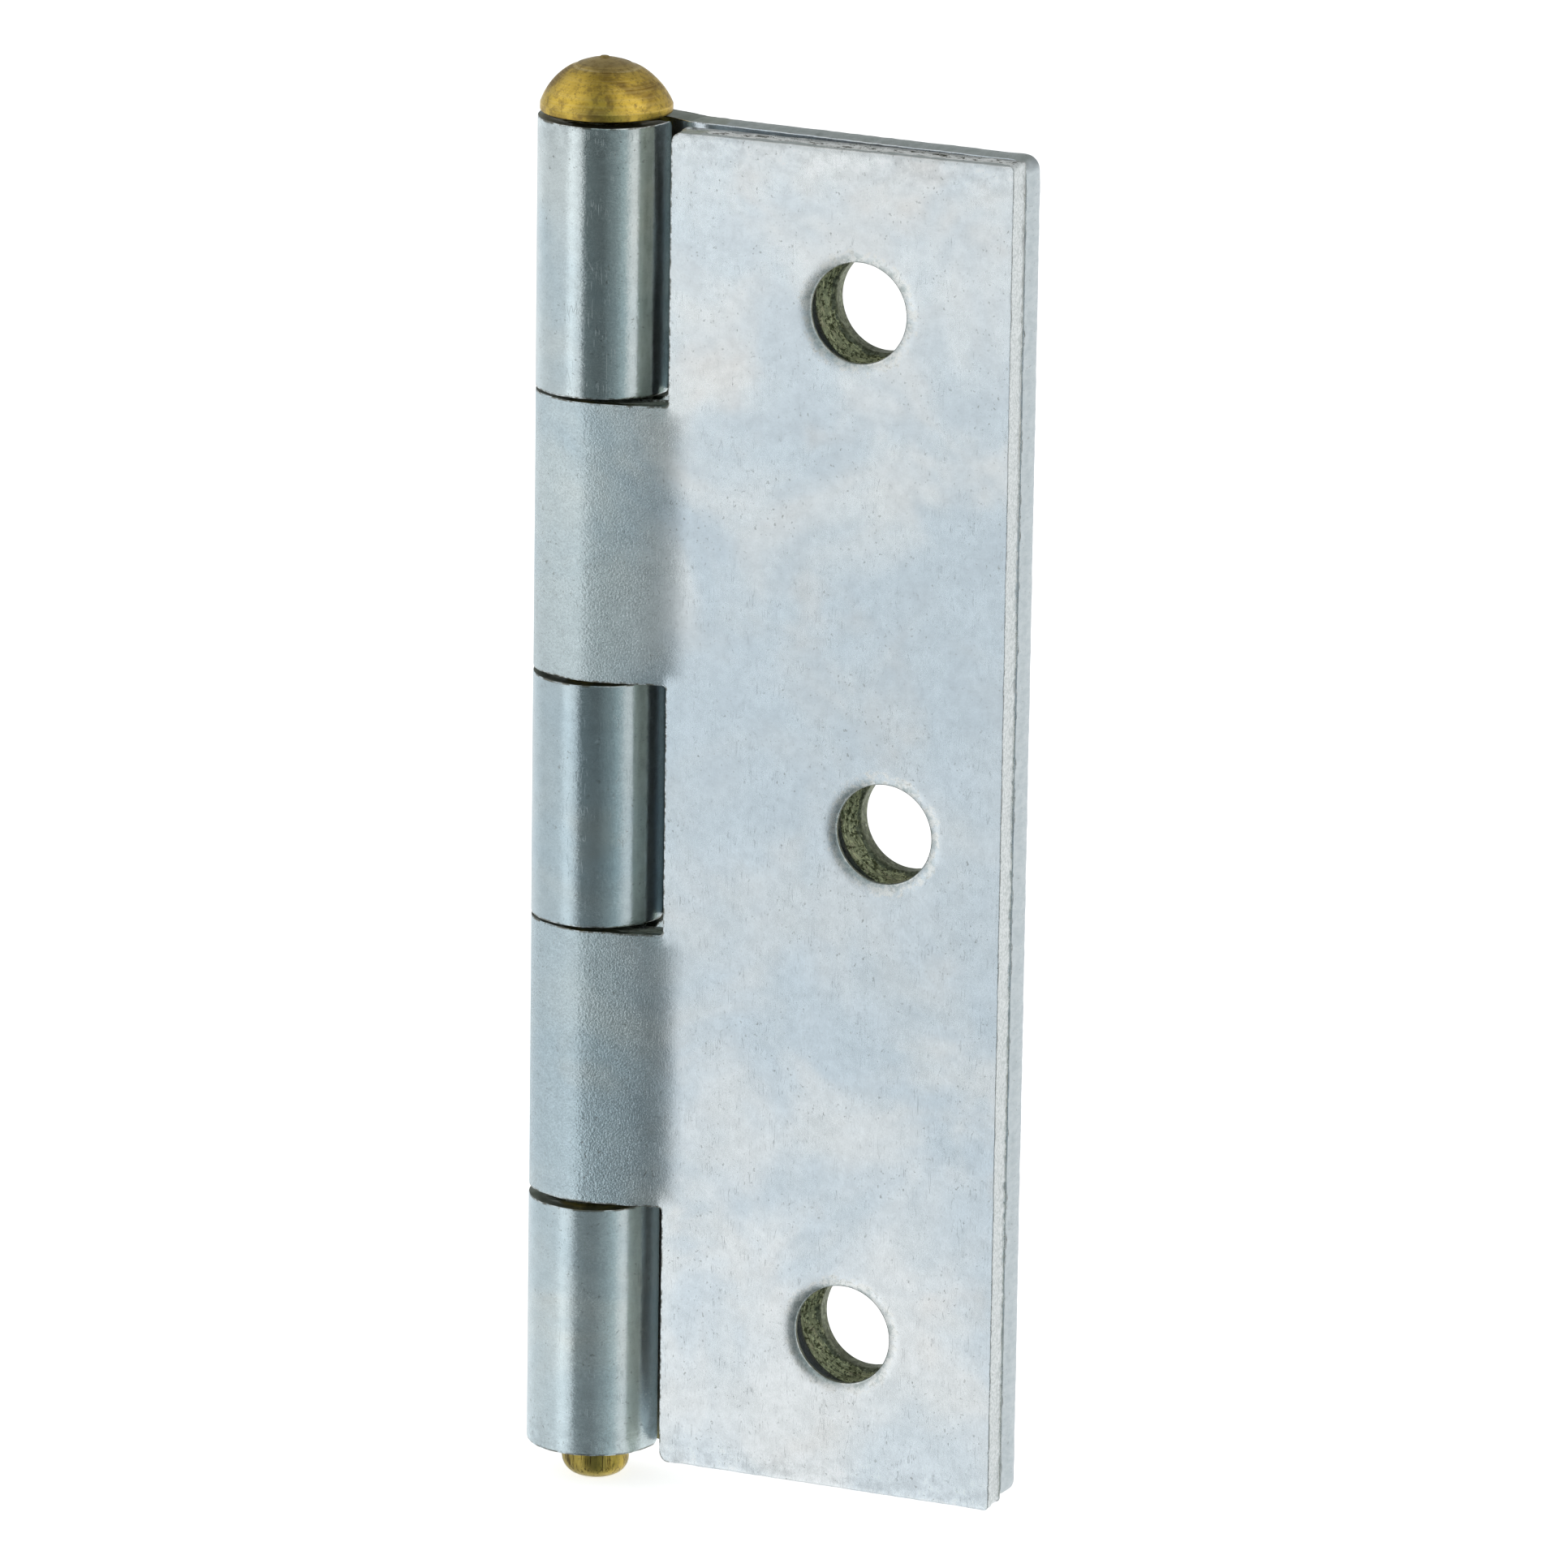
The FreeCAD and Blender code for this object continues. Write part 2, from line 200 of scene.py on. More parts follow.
def ripple(x, y, z, scale, seed):
    """Smooth seeded noise from -1 to 1."""
    return noise.noise(Vector((x / scale + seed * 17.3, y / scale - seed * 5.1, z / scale + seed)))


def eased(value):
    """A smooth rise from 0 to 1."""
    value = min(max(value, 0.0), 1.0)
    return value * value * (3 - 2 * value)


def towards(angle):
    """A level direction, from the +X axis round towards +Y."""
    return Vector((math.cos(angle), math.sin(angle), 0))


# ---- leaf mesh
FACE, SHEARED, SCREW_HOLE = range(3)  # material slots of a leaf
ROLLED_STEP = 0.25  # spacing of vertices round the roll
FLAT_STEP = 0.45  # across the flat part, and up the leaf
CLEAR_OF_EDGES = ROLLED_STEP * 0.7

RIM_STEPS = (0.04, 0.13, 0.3, 0.55, 0.8, 1.0, 1.25)  # rings across a rolled-over rim
INNER_RIM_WIDTH = 0.07
INNER_RIM_DEPTH = INNER_RIM_WIDTH * 0.6
WALL_STEPS = 8  # levels through the thickness of a sheared edge
SMOOTH_SHARE = 0.35  # how much of a sheared edge is cut, not torn
TEARING_SHARE = 0.25  # how much more it takes to be fully torn
CUT_ROUGHNESS = 0.01
TORN_ROUGHNESS = 0.07
TORN_SLOPE = 0.03

HOLE_POINTS = 96
HOLE_RIM_WIDTH = 0.8
HOLE_RIM_DEPTH = 0.18
LAND_STEP = 0.15  # spacing of rings down a hole's cylinder
CONE_STEP = 0.07  # and down its countersink
TOOL_MARK = 0.02  # depth of the countersink's rings
WEAR = 0.012  # of the walls and the countersink's lip
LIP_WIDTH = 0.12

FLATTENING = 0.28  # how far the roll is flattened
FLATTENED_AT = 110  # at this many degrees from the leaf
FLATTENED_SPREAD = 27
UNBENT_REACH = 1.5  # beside a knuckle the plate is flat this far into the bend
UNBENT_FADE = 2.2  # and bends over this much more
UNBENT_SIDE_FADE = 0.9  # or over this much into the knuckle
PRESS_WAVE = 0.008
PRESS_RIPPLE = 0.0035


def flat_beside(along, up, knuckles):
    """How far the sheet lies inside the bend at a place beside a knuckle's neck."""
    into_bend = FLAT_START - along
    if into_bend <= 0:
        return 0.0
    into_knuckle = max(min(up - low, high - up) for low, high in knuckles)
    beside = 1 - eased(into_knuckle / UNBENT_SIDE_FADE)
    within = 1 - eased((into_bend - UNBENT_REACH) / UNBENT_FADE)
    return beside * within * min(into_bend, UNBENT_REACH) ** 2 / (2 * BEND_RADIUS)


def face_grid(outline, holes):
    """Places spread over a face, closer together where it is rolled, and clear of its edges."""
    borders = np.concatenate((outline, *holes))
    tree = kdtree.KDTree(len(borders))
    for index, place in enumerate(borders):
        tree.insert((*place, 0), index)
    tree.balance()
    rolled = np.arange(ROLLED_STEP / 2, FLAT_START, ROLLED_STEP)
    flat = np.arange(FLAT_START, SHEET_LENGTH, FLAT_STEP)
    rows = np.arange(FLAT_STEP / 2, HEIGHT, FLAT_STEP)
    grid = np.stack(np.meshgrid(np.concatenate((rolled, flat)), rows), -1).reshape(-1, 2)
    grid = grid[on_sheet(grid, outline, holes)]
    return [place for place in grid if tree.find((*place, 0))[2] > CLEAR_OF_EDGES]


class LeafMesh:
    """A leaf's skin, collected in the sheet's own coordinates: along, up and offset."""

    def __init__(self, seed):
        self.seed = seed
        self.vertices = []
        self.faces = []
        self.slots = []
        self.near_edge = []
        self.near_hole = []

    def add(self, places, offsets, near_edge=0.0, near_hole=0.0):
        """Adds vertices and gives their indices. The last two say how near they are to the sheet's
        edge or to a screw hole, 1 being at it."""
        first = len(self.vertices)
        for (along, up), offset in zip(places, np.broadcast_to(offsets, len(places))):
            self.vertices.append((along, up, offset))
        self.near_edge.extend([near_edge] * len(places))
        self.near_hole.extend([near_hole] * len(places))
        return list(range(first, len(self.vertices)))

    def bridge(self, ring, other, slot):
        """Joins two rings of as many vertices with a band of faces."""
        for index in range(len(ring)):
            following = (index + 1) % len(ring)
            self.faces.append((ring[index], ring[following], other[following], other[index]))
            self.slots.append(slot)

    def rim(self, points, normals, side, width, depth, first, at_hole=False):
        """Rings that roll over from an edge to the outer (side 1) or inner (-1) face. Gives the last."""
        last = first
        widths = np.broadcast_to(width, len(points))
        for step in RIM_STEPS:
            drop = depth * (1 - np.sqrt(max(0.0, 1 - max(0.0, 1 - step) ** 2)))
            near = 1 - step / RIM_STEPS[-1]
            nearness = {"near_hole" if at_hole else "near_edge": near}
            ring = self.add(points + normals * (widths * step)[:, None], side * (HALF - drop), **nearness)
            self.bridge(last, ring, FACE)
            last = ring
        return last

    def fill(self, outline_ring, hole_rings, side):
        """Covers a face of the sheet between its outline and its holes."""
        rings = [outline_ring, *hole_rings]
        outline, *holes = [np.array([self.vertices[index][:2] for index in ring]) for ring in rings]
        chosen = [index for ring in rings for index in ring]
        chosen += self.add(face_grid(outline, holes), side * HALF)
        borders = []
        start = 0
        for ring in rings:
            borders.extend((start + i, start + (i + 1) % len(ring)) for i in range(len(ring)))
            start += len(ring)
        places = [Vector(self.vertices[index][:2]) for index in chosen]
        _, _, triangles, sources, _, _ = geometry.delaunay_2d_cdt(places, borders, [], 0, 1e-6, True)
        corners = np.array([[sources[corner][0] for corner in triangle] for triangle in triangles])
        centres = np.array(places)[corners].mean(axis=1)
        for triangle in corners[on_sheet(centres, outline, holes)]:
            self.faces.append(tuple(chosen[corner] for corner in triangle))
            self.slots.append(FACE)

    def shear(self, points, normals, outer_depth):
        """The sheared edge: smooth near its rolled-over outer side, then torn. Gives its outermost and
        innermost rings."""
        levels = []
        for level in range(WALL_STEPS + 1):
            through = level / WALL_STEPS
            offsets = (HALF - outer_depth) * (1 - through) - (HALF - INNER_RIM_DEPTH) * through
            torn = max(0.0, through - SMOOTH_SHARE)
            roughness = CUT_ROUGHNESS + TORN_ROUGHNESS * min(1.0, torn / TEARING_SHARE)
            sink = []
            for place, offset in zip(points, offsets):
                coarse = ripple(*place, offset * 0.5, 0.6, self.seed)
                fine = ripple(*place, offset, 0.2, self.seed + 3)
                sink.append(roughness * (1 + 0.9 * coarse + 0.7 * fine) + TORN_SLOPE * torn)
            pulled = points + normals * np.maximum(sink, 0)[:, None]
            levels.append(self.add(pulled, offsets, near_edge=1.0))
        for level, following in zip(levels, levels[1:]):
            self.bridge(level, following, SHEARED)
        return levels[0], levels[-1]

    def screw_hole(self, centre, sink):
        """A punched hole: rolled rim outside, short cylinder, then a countersink cut from inside.
        Gives its rings on the outer and the inner face."""
        points, away = circle_outline(centre, SCREW_RADIUS, HOLE_POINTS)
        cone_top = sink - HALF
        land_top = HALF - HOLE_RIM_DEPTH
        last = self.add(points, land_top, near_hole=1.0)
        outer = self.rim(points, away, 1, HOLE_RIM_WIDTH, HOLE_RIM_DEPTH, last, at_hole=True)
        land_levels = max(1, round((land_top - cone_top) / LAND_STEP))
        for level in range(1, land_levels + 1):
            offset = land_top + (cone_top - land_top) * level / land_levels
            worn = [WEAR * ripple(*place, offset, 0.5, self.seed + 5) for place in points]
            last = self.hole_wall(points + away * np.array(worn)[:, None], offset, last)
        cone_levels = max(8, round(sink / CONE_STEP))
        for level in range(1, cone_levels + 1):
            deep = sink * level / cone_levels
            groove = TOOL_MARK * ripple(0, 0, deep, 0.11, self.seed + 7 + centre[1])
            chatter = [groove + WEAR * ripple(*place, deep, 0.6, self.seed + 9) for place in points]
            spread = deep - WEAR + np.array(chatter) * (level < cone_levels)
            last = self.hole_wall(points + away * spread[:, None], cone_top - deep, last)
        lip = points + away * (sink - WEAR)
        inner = self.rim(lip, away, -1, LIP_WIDTH, 0.0, last, at_hole=True)
        return outer, inner

    def hole_wall(self, places, offset, last):
        """One more ring down a screw hole's wall."""
        ring = self.add(places, offset, near_hole=1.0)
        self.bridge(last, ring, SCREW_HOLE)
        return ring

    def relax(self, knuckles):
        """Slow waves from the press, always into the sheet. The roll is a little flattened round its
        far side. Only the knuckles' necks are bent: beside them the
        plate is flat right to its notches."""
        for index, (along, up, offset) in enumerate(self.vertices):
            outwards = offset / HALF
            slow = 1 + ripple(along, up, 0, 9.0, self.seed + 11)
            medium = 1 + ripple(along, up, offset, 2.6, self.seed + 13)
            waved = outwards * (PRESS_WAVE * slow + PRESS_RIPPLE * medium)
            turned = math.degrees(ROLL_END - along / MIDDLE_RADIUS)
            from_flattest = (turned - FLATTENED_AT) / FLATTENED_SPREAD
            flattened = FLATTENING * math.exp(-(from_flattest**2)) * max(0.0, outwards)
            unbent = flat_beside(along, up, knuckles)
            self.vertices[index] = (along, up, offset - waved - flattened - unbent)


# ---- the two leaves
class Leaf(NamedTuple):
    """What one leaf is. Its heights are its own, before the front leaf is turned over."""

    name: str
    seed: int
    knuckles: tuple  # lower and upper end of each
    notch_reaches: tuple  # pin axis to each notch, from the leaf's upper end
    free_round: float  # corners of the free edge
    sink: float  # countersink depth, from the inner face
    free_edge_is_torn: bool
    turned_over: bool


BACK_LEAF = Leaf(
    name="back_leaf_plate",
    seed=3,
    knuckles=KNUCKLES[0::2],
    notch_reaches=(5.1, 5.1),
    free_round=0.9,
    sink=0.85,
    free_edge_is_torn=False,
    turned_over=False,
)
FRONT_LEAF = Leaf(
    name="front_leaf_plate",
    seed=23,
    knuckles=tuple((HEIGHT - high, HEIGHT - low) for low, high in reversed(KNUCKLES[1::2])),
    notch_reaches=(5.06, 4.93, 4.88),
    free_round=0.3,
    sink=1.5,
    free_edge_is_torn=True,
    turned_over=True,
)


def leaf_outline(leaf):
    """The flat sheet's outline before it is rolled: a plate with a tab for each knuckle. A knuckle
    at the very end shares the plate's edge."""
    notches = [notch_place(reach) for reach in leaf.notch_reaches]
    corners = [(SHEET_LENGTH, 0, leaf.free_round), (SHEET_LENGTH, HEIGHT, leaf.free_round)]
    if leaf.knuckles[-1][1] < HEIGHT:
        corners.append((notches[0], HEIGHT, NOTCH_CORNER))
    for low, high in reversed(leaf.knuckles):
        if high < HEIGHT:
            corners.append((notches.pop(0), high, NOTCH_ROUND))
        corners.append((0, high, KNUCKLE_ROUND))
        corners.append((0, low, KNUCKLE_ROUND))
        if low > 0:
            corners.append((notches[0], low, NOTCH_ROUND))
    if leaf.knuckles[0][0] > 0:
        corners.append((notches[0], 0, NOTCH_CORNER))
    return rounded_outline(corners)


def wander_edge(points, normals, seed):
    """The sheared outline, uneven by a few hundredths, always into the sheet."""
    uneven = [
        0.022 * (1 + ripple(*place, 0, 1.1, seed + 15)) + 0.016 * (1 + ripple(*place, 0, 0.37, seed + 17))
        for place in points
    ]
    return points + normals * np.array(uneven)[:, None]


def outer_rim(points, free_edge_is_torn):
    """How far and how deep each stretch of edge is rolled over on the outer face. The blanking tool
    leaves a soft edge there; a leaf cut to width afterwards keeps a sharp, torn free edge."""
    at_free_edge = np.clip((points[:, 0] - (SHEET_LENGTH - 0.45)) / 0.4, 0, 1)
    sharp = at_free_edge if free_edge_is_torn else np.zeros(len(points))
    on_knuckles = np.clip((FLAT_START - points[:, 0]) / 0.5, 0, 1)
    return 0.34 - 0.3 * sharp - 0.24 * on_knuckles, 0.13 - 0.12 * sharp - 0.1 * on_knuckles


def build_leaf(leaf):
    """One leaf's finished mesh object, in the row frame."""
    skin = LeafMesh(leaf.seed)
    points, normals = leaf_outline(leaf)
    points = wander_edge(points, normals, leaf.seed)
    outer_width, outer_depth = outer_rim(points, leaf.free_edge_is_torn)
    outer_edge, inner_edge = skin.shear(points, normals, outer_depth)
    outer_ring = skin.rim(points, normals, 1, outer_width, outer_depth, outer_edge)
    inner_ring = skin.rim(points, normals, -1, INNER_RIM_WIDTH, INNER_RIM_DEPTH, inner_edge)
    holes = [skin.screw_hole((flat_place(reach), height), leaf.sink) for reach, height in SCREW_PLACES]
    skin.fill(outer_ring, [outer for outer, _ in holes], 1)
    skin.fill(inner_ring, [inner for _, inner in holes], -1)
    skin.relax(leaf.knuckles)
    return finish_leaf(leaf, skin)


def leaf_to_frame(turned_over):
    """Puts a leaf's own coordinates (across, out, up) in the row frame, in metres. The front leaf is
    the same pressing turned end over end and swung shut."""
    if turned_over:
        turn = Matrix.Rotation(math.pi, 4, towards(CLOSED_TURN / 2))
        place = Matrix.Translation((AXIS.x, AXIS.y, HEIGHT / 2)) @ turn
    else:
        place = Matrix.Translation((AXIS.x, AXIS.y, -HEIGHT / 2))
    return Matrix.Scale(MM, 4) @ place


def finish_leaf(leaf, skin):
    """Rolls the skin up and keeps the sheet's own coordinates on it for the materials."""
    sheet_places = np.array(skin.vertices)
    across, out = section(sheet_places[:, 0], sheet_places[:, 2])
    corners = np.stack((across, out, sheet_places[:, 1]), 1)
    to_frame = leaf_to_frame(leaf.turned_over)
    mesh = bpy.data.meshes.new(leaf.name)
    mesh.from_pydata([to_frame @ Vector(corner) for corner in corners], [], skin.faces)
    mesh.polygons.foreach_set("material_index", skin.slots)
    sheet = mesh.attributes.new("sheet", "FLOAT_VECTOR", "POINT")
    sheet.data.foreach_set("vector", sheet_places.astype(np.float32).ravel())
    for name, nearness in (("edge", skin.near_edge), ("hole", skin.near_hole)):
        attribute = mesh.attributes.new(name, "FLOAT", "POINT")
        attribute.data.foreach_set("value", np.array(nearness, np.float32))
    return finish_mesh(leaf.name, mesh)


def finish_mesh(name, mesh):
    """Turns the faces outwards, shades them smooth and puts the mesh in the scene."""
    shell = bmesh.new()
    shell.from_mesh(mesh)
    bmesh.ops.recalc_face_normals(shell, faces=shell.faces)
    shell.to_mesh(mesh)
    shell.free()
    mesh.polygons.foreach_set("use_smooth", [True] * len(mesh.polygons))
    mesh.update()
    piece = bpy.data.objects.new(name, mesh)
    bpy.context.scene.collection.objects.link(piece)
    return piece


# ---- pin mesh
PIN_RADIUS = 1.9
TIP_ROUND = 1.0
TIP_LEAN = 0.16  # how far the tip is bent to one side
TIP_LEAN_TOWARDS = math.radians(27)
HEAD_RADIUS = 3.66
HEAD_LIP = 0.08  # rounding under the head's rim
HEAD_GAP = 0.25  # between the barrel and the head
RIM_HEIGHT = 0.4
UNDER_HEAD = HEIGHT / 2 + HEAD_GAP
DOME_BASE = UNDER_HEAD + RIM_HEIGHT
NUB_RADIUS = 0.3
NUB_RISE = 0.1
HEAD_LEAN = 0.13  # the crown is this far to one side of the rim's centre
HEAD_LEAN_TOWARDS = math.radians(205)
PIN_WEAR = 0.013
PIN_SEGMENTS = 128
PIN_SEED = 41


def quarter_round(middle, low, size, count):
    """Radius and height of points up a quarter round, after its lowest."""
    return [
        (middle + size * math.sin(angle), low + size * (1 - math.cos(angle)))
        for angle in np.linspace(0, math.pi / 2, count)[1:]
    ]


def pin_profile():
    """Radius and height of the turned pin, from the middle of its tip to the nub on its head."""
    low = PIN_LOW.z / MM
    high = PIN_HIGH.z / MM
    tip_middle = PIN_RADIUS - TIP_ROUND
    profile = [(0.0, low)]
    profile += [(radius, low) for radius in np.linspace(0.25, tip_middle, 6)]
    profile += quarter_round(tip_middle, low, TIP_ROUND, 9)
    profile += [(PIN_RADIUS, height) for height in np.linspace(low + TIP_ROUND, UNDER_HEAD, 150)[1:]]
    profile += [(radius, UNDER_HEAD) for radius in np.linspace(PIN_RADIUS + 0.2, HEAD_RADIUS - 0.1, 8)]
    profile += quarter_round(HEAD_RADIUS - HEAD_LIP, UNDER_HEAD, HEAD_LIP, 5)
    profile += [(HEAD_RADIUS, height) for height in np.linspace(UNDER_HEAD + 2 * HEAD_LIP, DOME_BASE, 4)]
    crown = high - NUB_RISE
    rise = crown - DOME_BASE
    dome = (HEAD_RADIUS**2 + rise**2) / (2 * rise)
    centre = crown - dome
    start = math.asin(NUB_RADIUS / dome)
    stop = math.atan2(HEAD_RADIUS, DOME_BASE - centre)
    for angle in np.linspace(stop, start, 70)[1:]:
        profile.append((dome * math.sin(angle), centre + dome * math.cos(angle)))
    profile += [(NUB_RADIUS * 0.75, high - 0.02), (NUB_RADIUS * 0.45, high), (0.0, high)]
    return profile


def facet(radius):
    """How much the dome is turned down at a radius: a shallow second cut and the tool's grooves."""
    cut = 0.05 * math.exp(-(((radius - 1.7) / 0.16) ** 2))
    flat = 0.02 * max(0.0, 1 - abs(radius - 1.1) / 0.6)
    groove = 0.004 * (1 + ripple(radius, 0, 0, 0.09, PIN_SEED))
    return cut + flat + groove


def bend(height):
    """How far the pin's middle is off its axis at a height: only the tip below the barrel is bent."""
    below = max(0.0, -HEIGHT / 2 - height) / (-HEIGHT / 2 - PIN_LOW.z / MM)
    return towards(TIP_LEAN_TOWARDS) * TIP_LEAN * math.sqrt(below)


def pin_place(radius, height, angle):
    """Where a point of the pin's profile comes, worn and bent, in the row frame."""
    head_lean = towards(HEAD_LEAN_TOWARDS) * (HEAD_LEAN / (PIN_HIGH.z / MM - DOME_BASE))
    if radius == 0.0:
        middle = Vector((AXIS.x, AXIS.y, height))
        return (middle + head_lean * max(0.0, height - DOME_BASE) + bend(height)) * MM
    place = Vector((math.cos(angle) * radius, math.sin(angle) * radius, height)) + bend(height)
    worn = PIN_WEAR * (1 + ripple(*place, 1.1, PIN_SEED + 2))
    if height > DOME_BASE:
        place.z -= facet(radius) + worn
        place += head_lean * (height - DOME_BASE)
    else:
        place.xy *= 1 - worn / radius
    return Vector((AXIS.x + place.x, AXIS.y + place.y, place.z)) * MM


def build_pin(name):
    """The pin's finished mesh object, turned from its profile."""
    vertices = []
    faces = []
    rings = []
    for radius, height in pin_profile():
        first = len(vertices)
        points = 1 if radius == 0.0 else PIN_SEGMENTS
        vertices += [pin_place(radius, height, 2 * math.pi * point / points) for point in range(points)]
        rings.append([first + point % points for point in range(PIN_SEGMENTS)])
    for ring, above in zip(rings, rings[1:]):
        for index in range(PIN_SEGMENTS):
            following = (index + 1) % PIN_SEGMENTS
            corners = (ring[index], ring[following], above[following], above[index])
            faces.append(tuple(dict.fromkeys(corners)))
    mesh = bpy.data.meshes.new(name)
    mesh.from_pydata(vertices, [], faces)
    return finish_mesh(name, mesh)


# ---- material tools
class Nodes:
    """Adds and links the nodes of a material or of the world."""

    def __init__(self, tree):
        self.tree = tree

    def give(self, socket, value):
        """Links another node's output to a socket, or sets its plain value."""
        if isinstance(value, bpy.types.NodeSocket):
            self.tree.links.new(value, socket)
        else:
            socket.default_value = value

    def node(self, kind, inputs=(), **settings):
        made = self.tree.nodes.new(kind)
        for key, value in settings.items():
            setattr(made, key, value)
        for socket, value in dict(inputs).items():
            self.give(made.inputs[socket], value)
        return made

    def axes(self, vector):
        return self.node("ShaderNodeSeparateXYZ", {0: vector}).outputs

    def step(self, value, low, high, to_low=0.0, to_high=1.0):
        """Maps low..high smoothly to to_low..to_high."""
        inputs = {"Value": value, "From Min": low, "From Max": high, "To Min": to_low, "To Max": to_high}
        return self.node("ShaderNodeMapRange", inputs, interpolation_type="SMOOTHSTEP").outputs[0]

    def math(self, operation, first, second=0.0):
        return self.node("ShaderNodeMath", {0: first, 1: second}, operation=operation).outputs[0]

    def times(self, first, *others):
        for other in others:
            first = self.math("MULTIPLY", first, other)
        return first

    def plus(self, first, second):
        return self.math("ADD", first, second)

    def distance(self, first, second):
        return self.math("ABSOLUTE", self.math("SUBTRACT", first, second))

    def mix(self, share, first, second):
        """A value between two values."""
        return self.node("ShaderNodeMix", {0: share, 2: first, 3: second}, data_type="FLOAT").outputs[0]

    def blend(self, share, first, second, mode="MIX"):
        """A colour between two colours, or the first changed by the second."""
        settings = {"data_type": "RGBA", "blend_type": mode}
        return self.node("ShaderNodeMix", {0: share, 6: first, 7: second}, **settings).outputs[2]

    def grey(self, value):
        return self.node("ShaderNodeCombineColor", {0: value, 1: value, 2: value}).outputs[0]


class Coat(Nodes):
    """One material's nodes."""

    def __init__(self, name):
        self.material = bpy.data.materials.new(name)
        self.material.use_nodes = True
        super().__init__(self.material.node_tree)
        self.surface = self.tree.nodes["Principled BSDF"]

    def sheet(self):
        """The sheet's own coordinates in millimetres: along, up and through."""
        return self.node("ShaderNodeAttribute", attribute_name="sheet").outputs["Vector"]

    def nearness(self, name):
        """How near a place is to the sheet's edge ("edge") or to a screw hole ("hole")."""
        return self.node("ShaderNodeAttribute", attribute_name=name).outputs["Fac"]

    def object_mm(self):
        """A place on the object in millimetres."""
        place = self.node("ShaderNodeTexCoord").outputs["Object"]
        return self.stretched(place, (1 / MM,) * 3)

    def stretched(self, vector, scale=(1, 1, 1), turn=(0, 0, 0), shift=(0, 0, 0)):
        mapping = {"Vector": vector, "Scale": scale, "Rotation": turn, "Location": shift}
        return self.node("ShaderNodeMapping", mapping).outputs[0]

    def noise(self, vector, scale, detail=2.0, roughness=0.5, distortion=0.0):
        inputs = {"Vector": vector, "Scale": scale, "Detail": detail, "Roughness": roughness}
        inputs["Distortion"] = distortion
        return self.node("ShaderNodeTexNoise", inputs).outputs["Fac"]

    def shaded(self, colour, change):
        """A colour made lighter or darker by a share of itself."""
        return self.blend(1.0, colour, self.grey(self.plus(change, 1.0)), "MULTIPLY")

    def bump(self, height, strength, depth, normal=None):
        inputs = {"Height": height, "Strength": strength, "Distance": depth * MM}
        if normal is not None:
            inputs["Normal"] = normal
        return self.node("ShaderNodeBump", inputs).outputs[0]

    def finish(self, **sockets):
        """Gives the surface its values, and the material back."""
        for name, value in sockets.items():
            self.give(self.surface.inputs[name.replace("_", " ")], value)
        return self.material


# ---- the leaves' faces
STRAW = (0.92, 0.9, 0.85, 1)  # warm clouds in the plating
MIDDLE_TINT = (0.87, 0.88, 0.91, 1)  # a leaf is darker and bluer at mid height
END_TINT = (1.07, 1.035, 1.035, 1)
SPECK = (0.25, 0.26, 0.24, 1)
SCRATCH = (0.45, 0.46, 0.46, 1)
RUBBED = (0.9, 0.92, 0.92, 1)
HOLE_BLOOM = (0.95, 0.93, 0.88, 1)
HOLE_FLECK = (0.3, 0.31, 0.27, 1)
# painted shade on the rolled rims round the screw holes
HOLE_SHADE = (0.42, 0.47, 0.44, 1)
KNUCKLE_EDGE_DARK = (0.22, 0.22, 0.19, 1)


class Plating(NamedTuple):
    """What sets one leaf's zinc plate apart from the other's."""

    tints: tuple  # the two colours of its clouds
    roll_tint: tuple  # what the rolled part is darkened by
    metallic: float
    roughness: float
    duller_below: float  # how far the shine fades towards the leaf's own lower end
    grain: float  # relief of the fine grain on the roll
    grain_tint: float  # how far that grain shows as light and dark
    brushing: float  # relief of the fine lines round the barrel


BRIGHT = Plating(
    tints=((0.75, 0.84, 0.89, 1), (0.83, 0.875, 0.885, 1)),
    roll_tint=(0.88, 0.93, 0.91, 1),
    metallic=0.97,
    roughness=0.16,
    duller_below=0.045,
    grain=0.14,
    grain_tint=0.05,
    brushing=0.55,
)
MATTE = Plating(
    tints=((0.815, 0.9, 0.935, 1), (0.9, 0.94, 0.932, 1)),
    roll_tint=(0.84, 0.9, 0.9, 1),
    metallic=0.92,
    roughness=0.24,
    duller_below=0.055,
    grain=1.0,
    grain_tint=0.1,
    brushing=0.15,
)


def clouded(coat, place, up, tints):
    """Cloudy blue and straw tints, with a mottling that is strongest beside the leaf's ends."""
    cloud = coat.step(coat.noise(place, 0.11, 3.0, 0.55, 0.6), 0.36, 0.66)
    colour = coat.blend(cloud, *tints)
    straw = coat.noise(coat.stretched(place, shift=(31, 7, 0)), 0.16, 3.0)
    colour = coat.blend(coat.step(straw, 0.58, 0.76, 0, 0.55), colour, STRAW)
    from_middle = coat.distance(up, HEIGHT / 2)
    mottle = coat.step(coat.noise(place, 1.5, 4.0, 0.7), 0.3, 0.7, -0.07, 0.04)
    beside_end = coat.step(from_middle, HEIGHT / 2 - 2.5, HEIGHT / 2 - 0.3, 1.0, 2.6)
    colour = coat.shaded(colour, coat.times(mottle, beside_end))
    near_ends = coat.step(coat.plus(from_middle, coat.step(cloud, 0, 1, -5, 5)), 8, 34)
    return coat.blend(1.0, colour, coat.blend(near_ends, MIDDLE_TINT, END_TINT), "MULTIPLY")


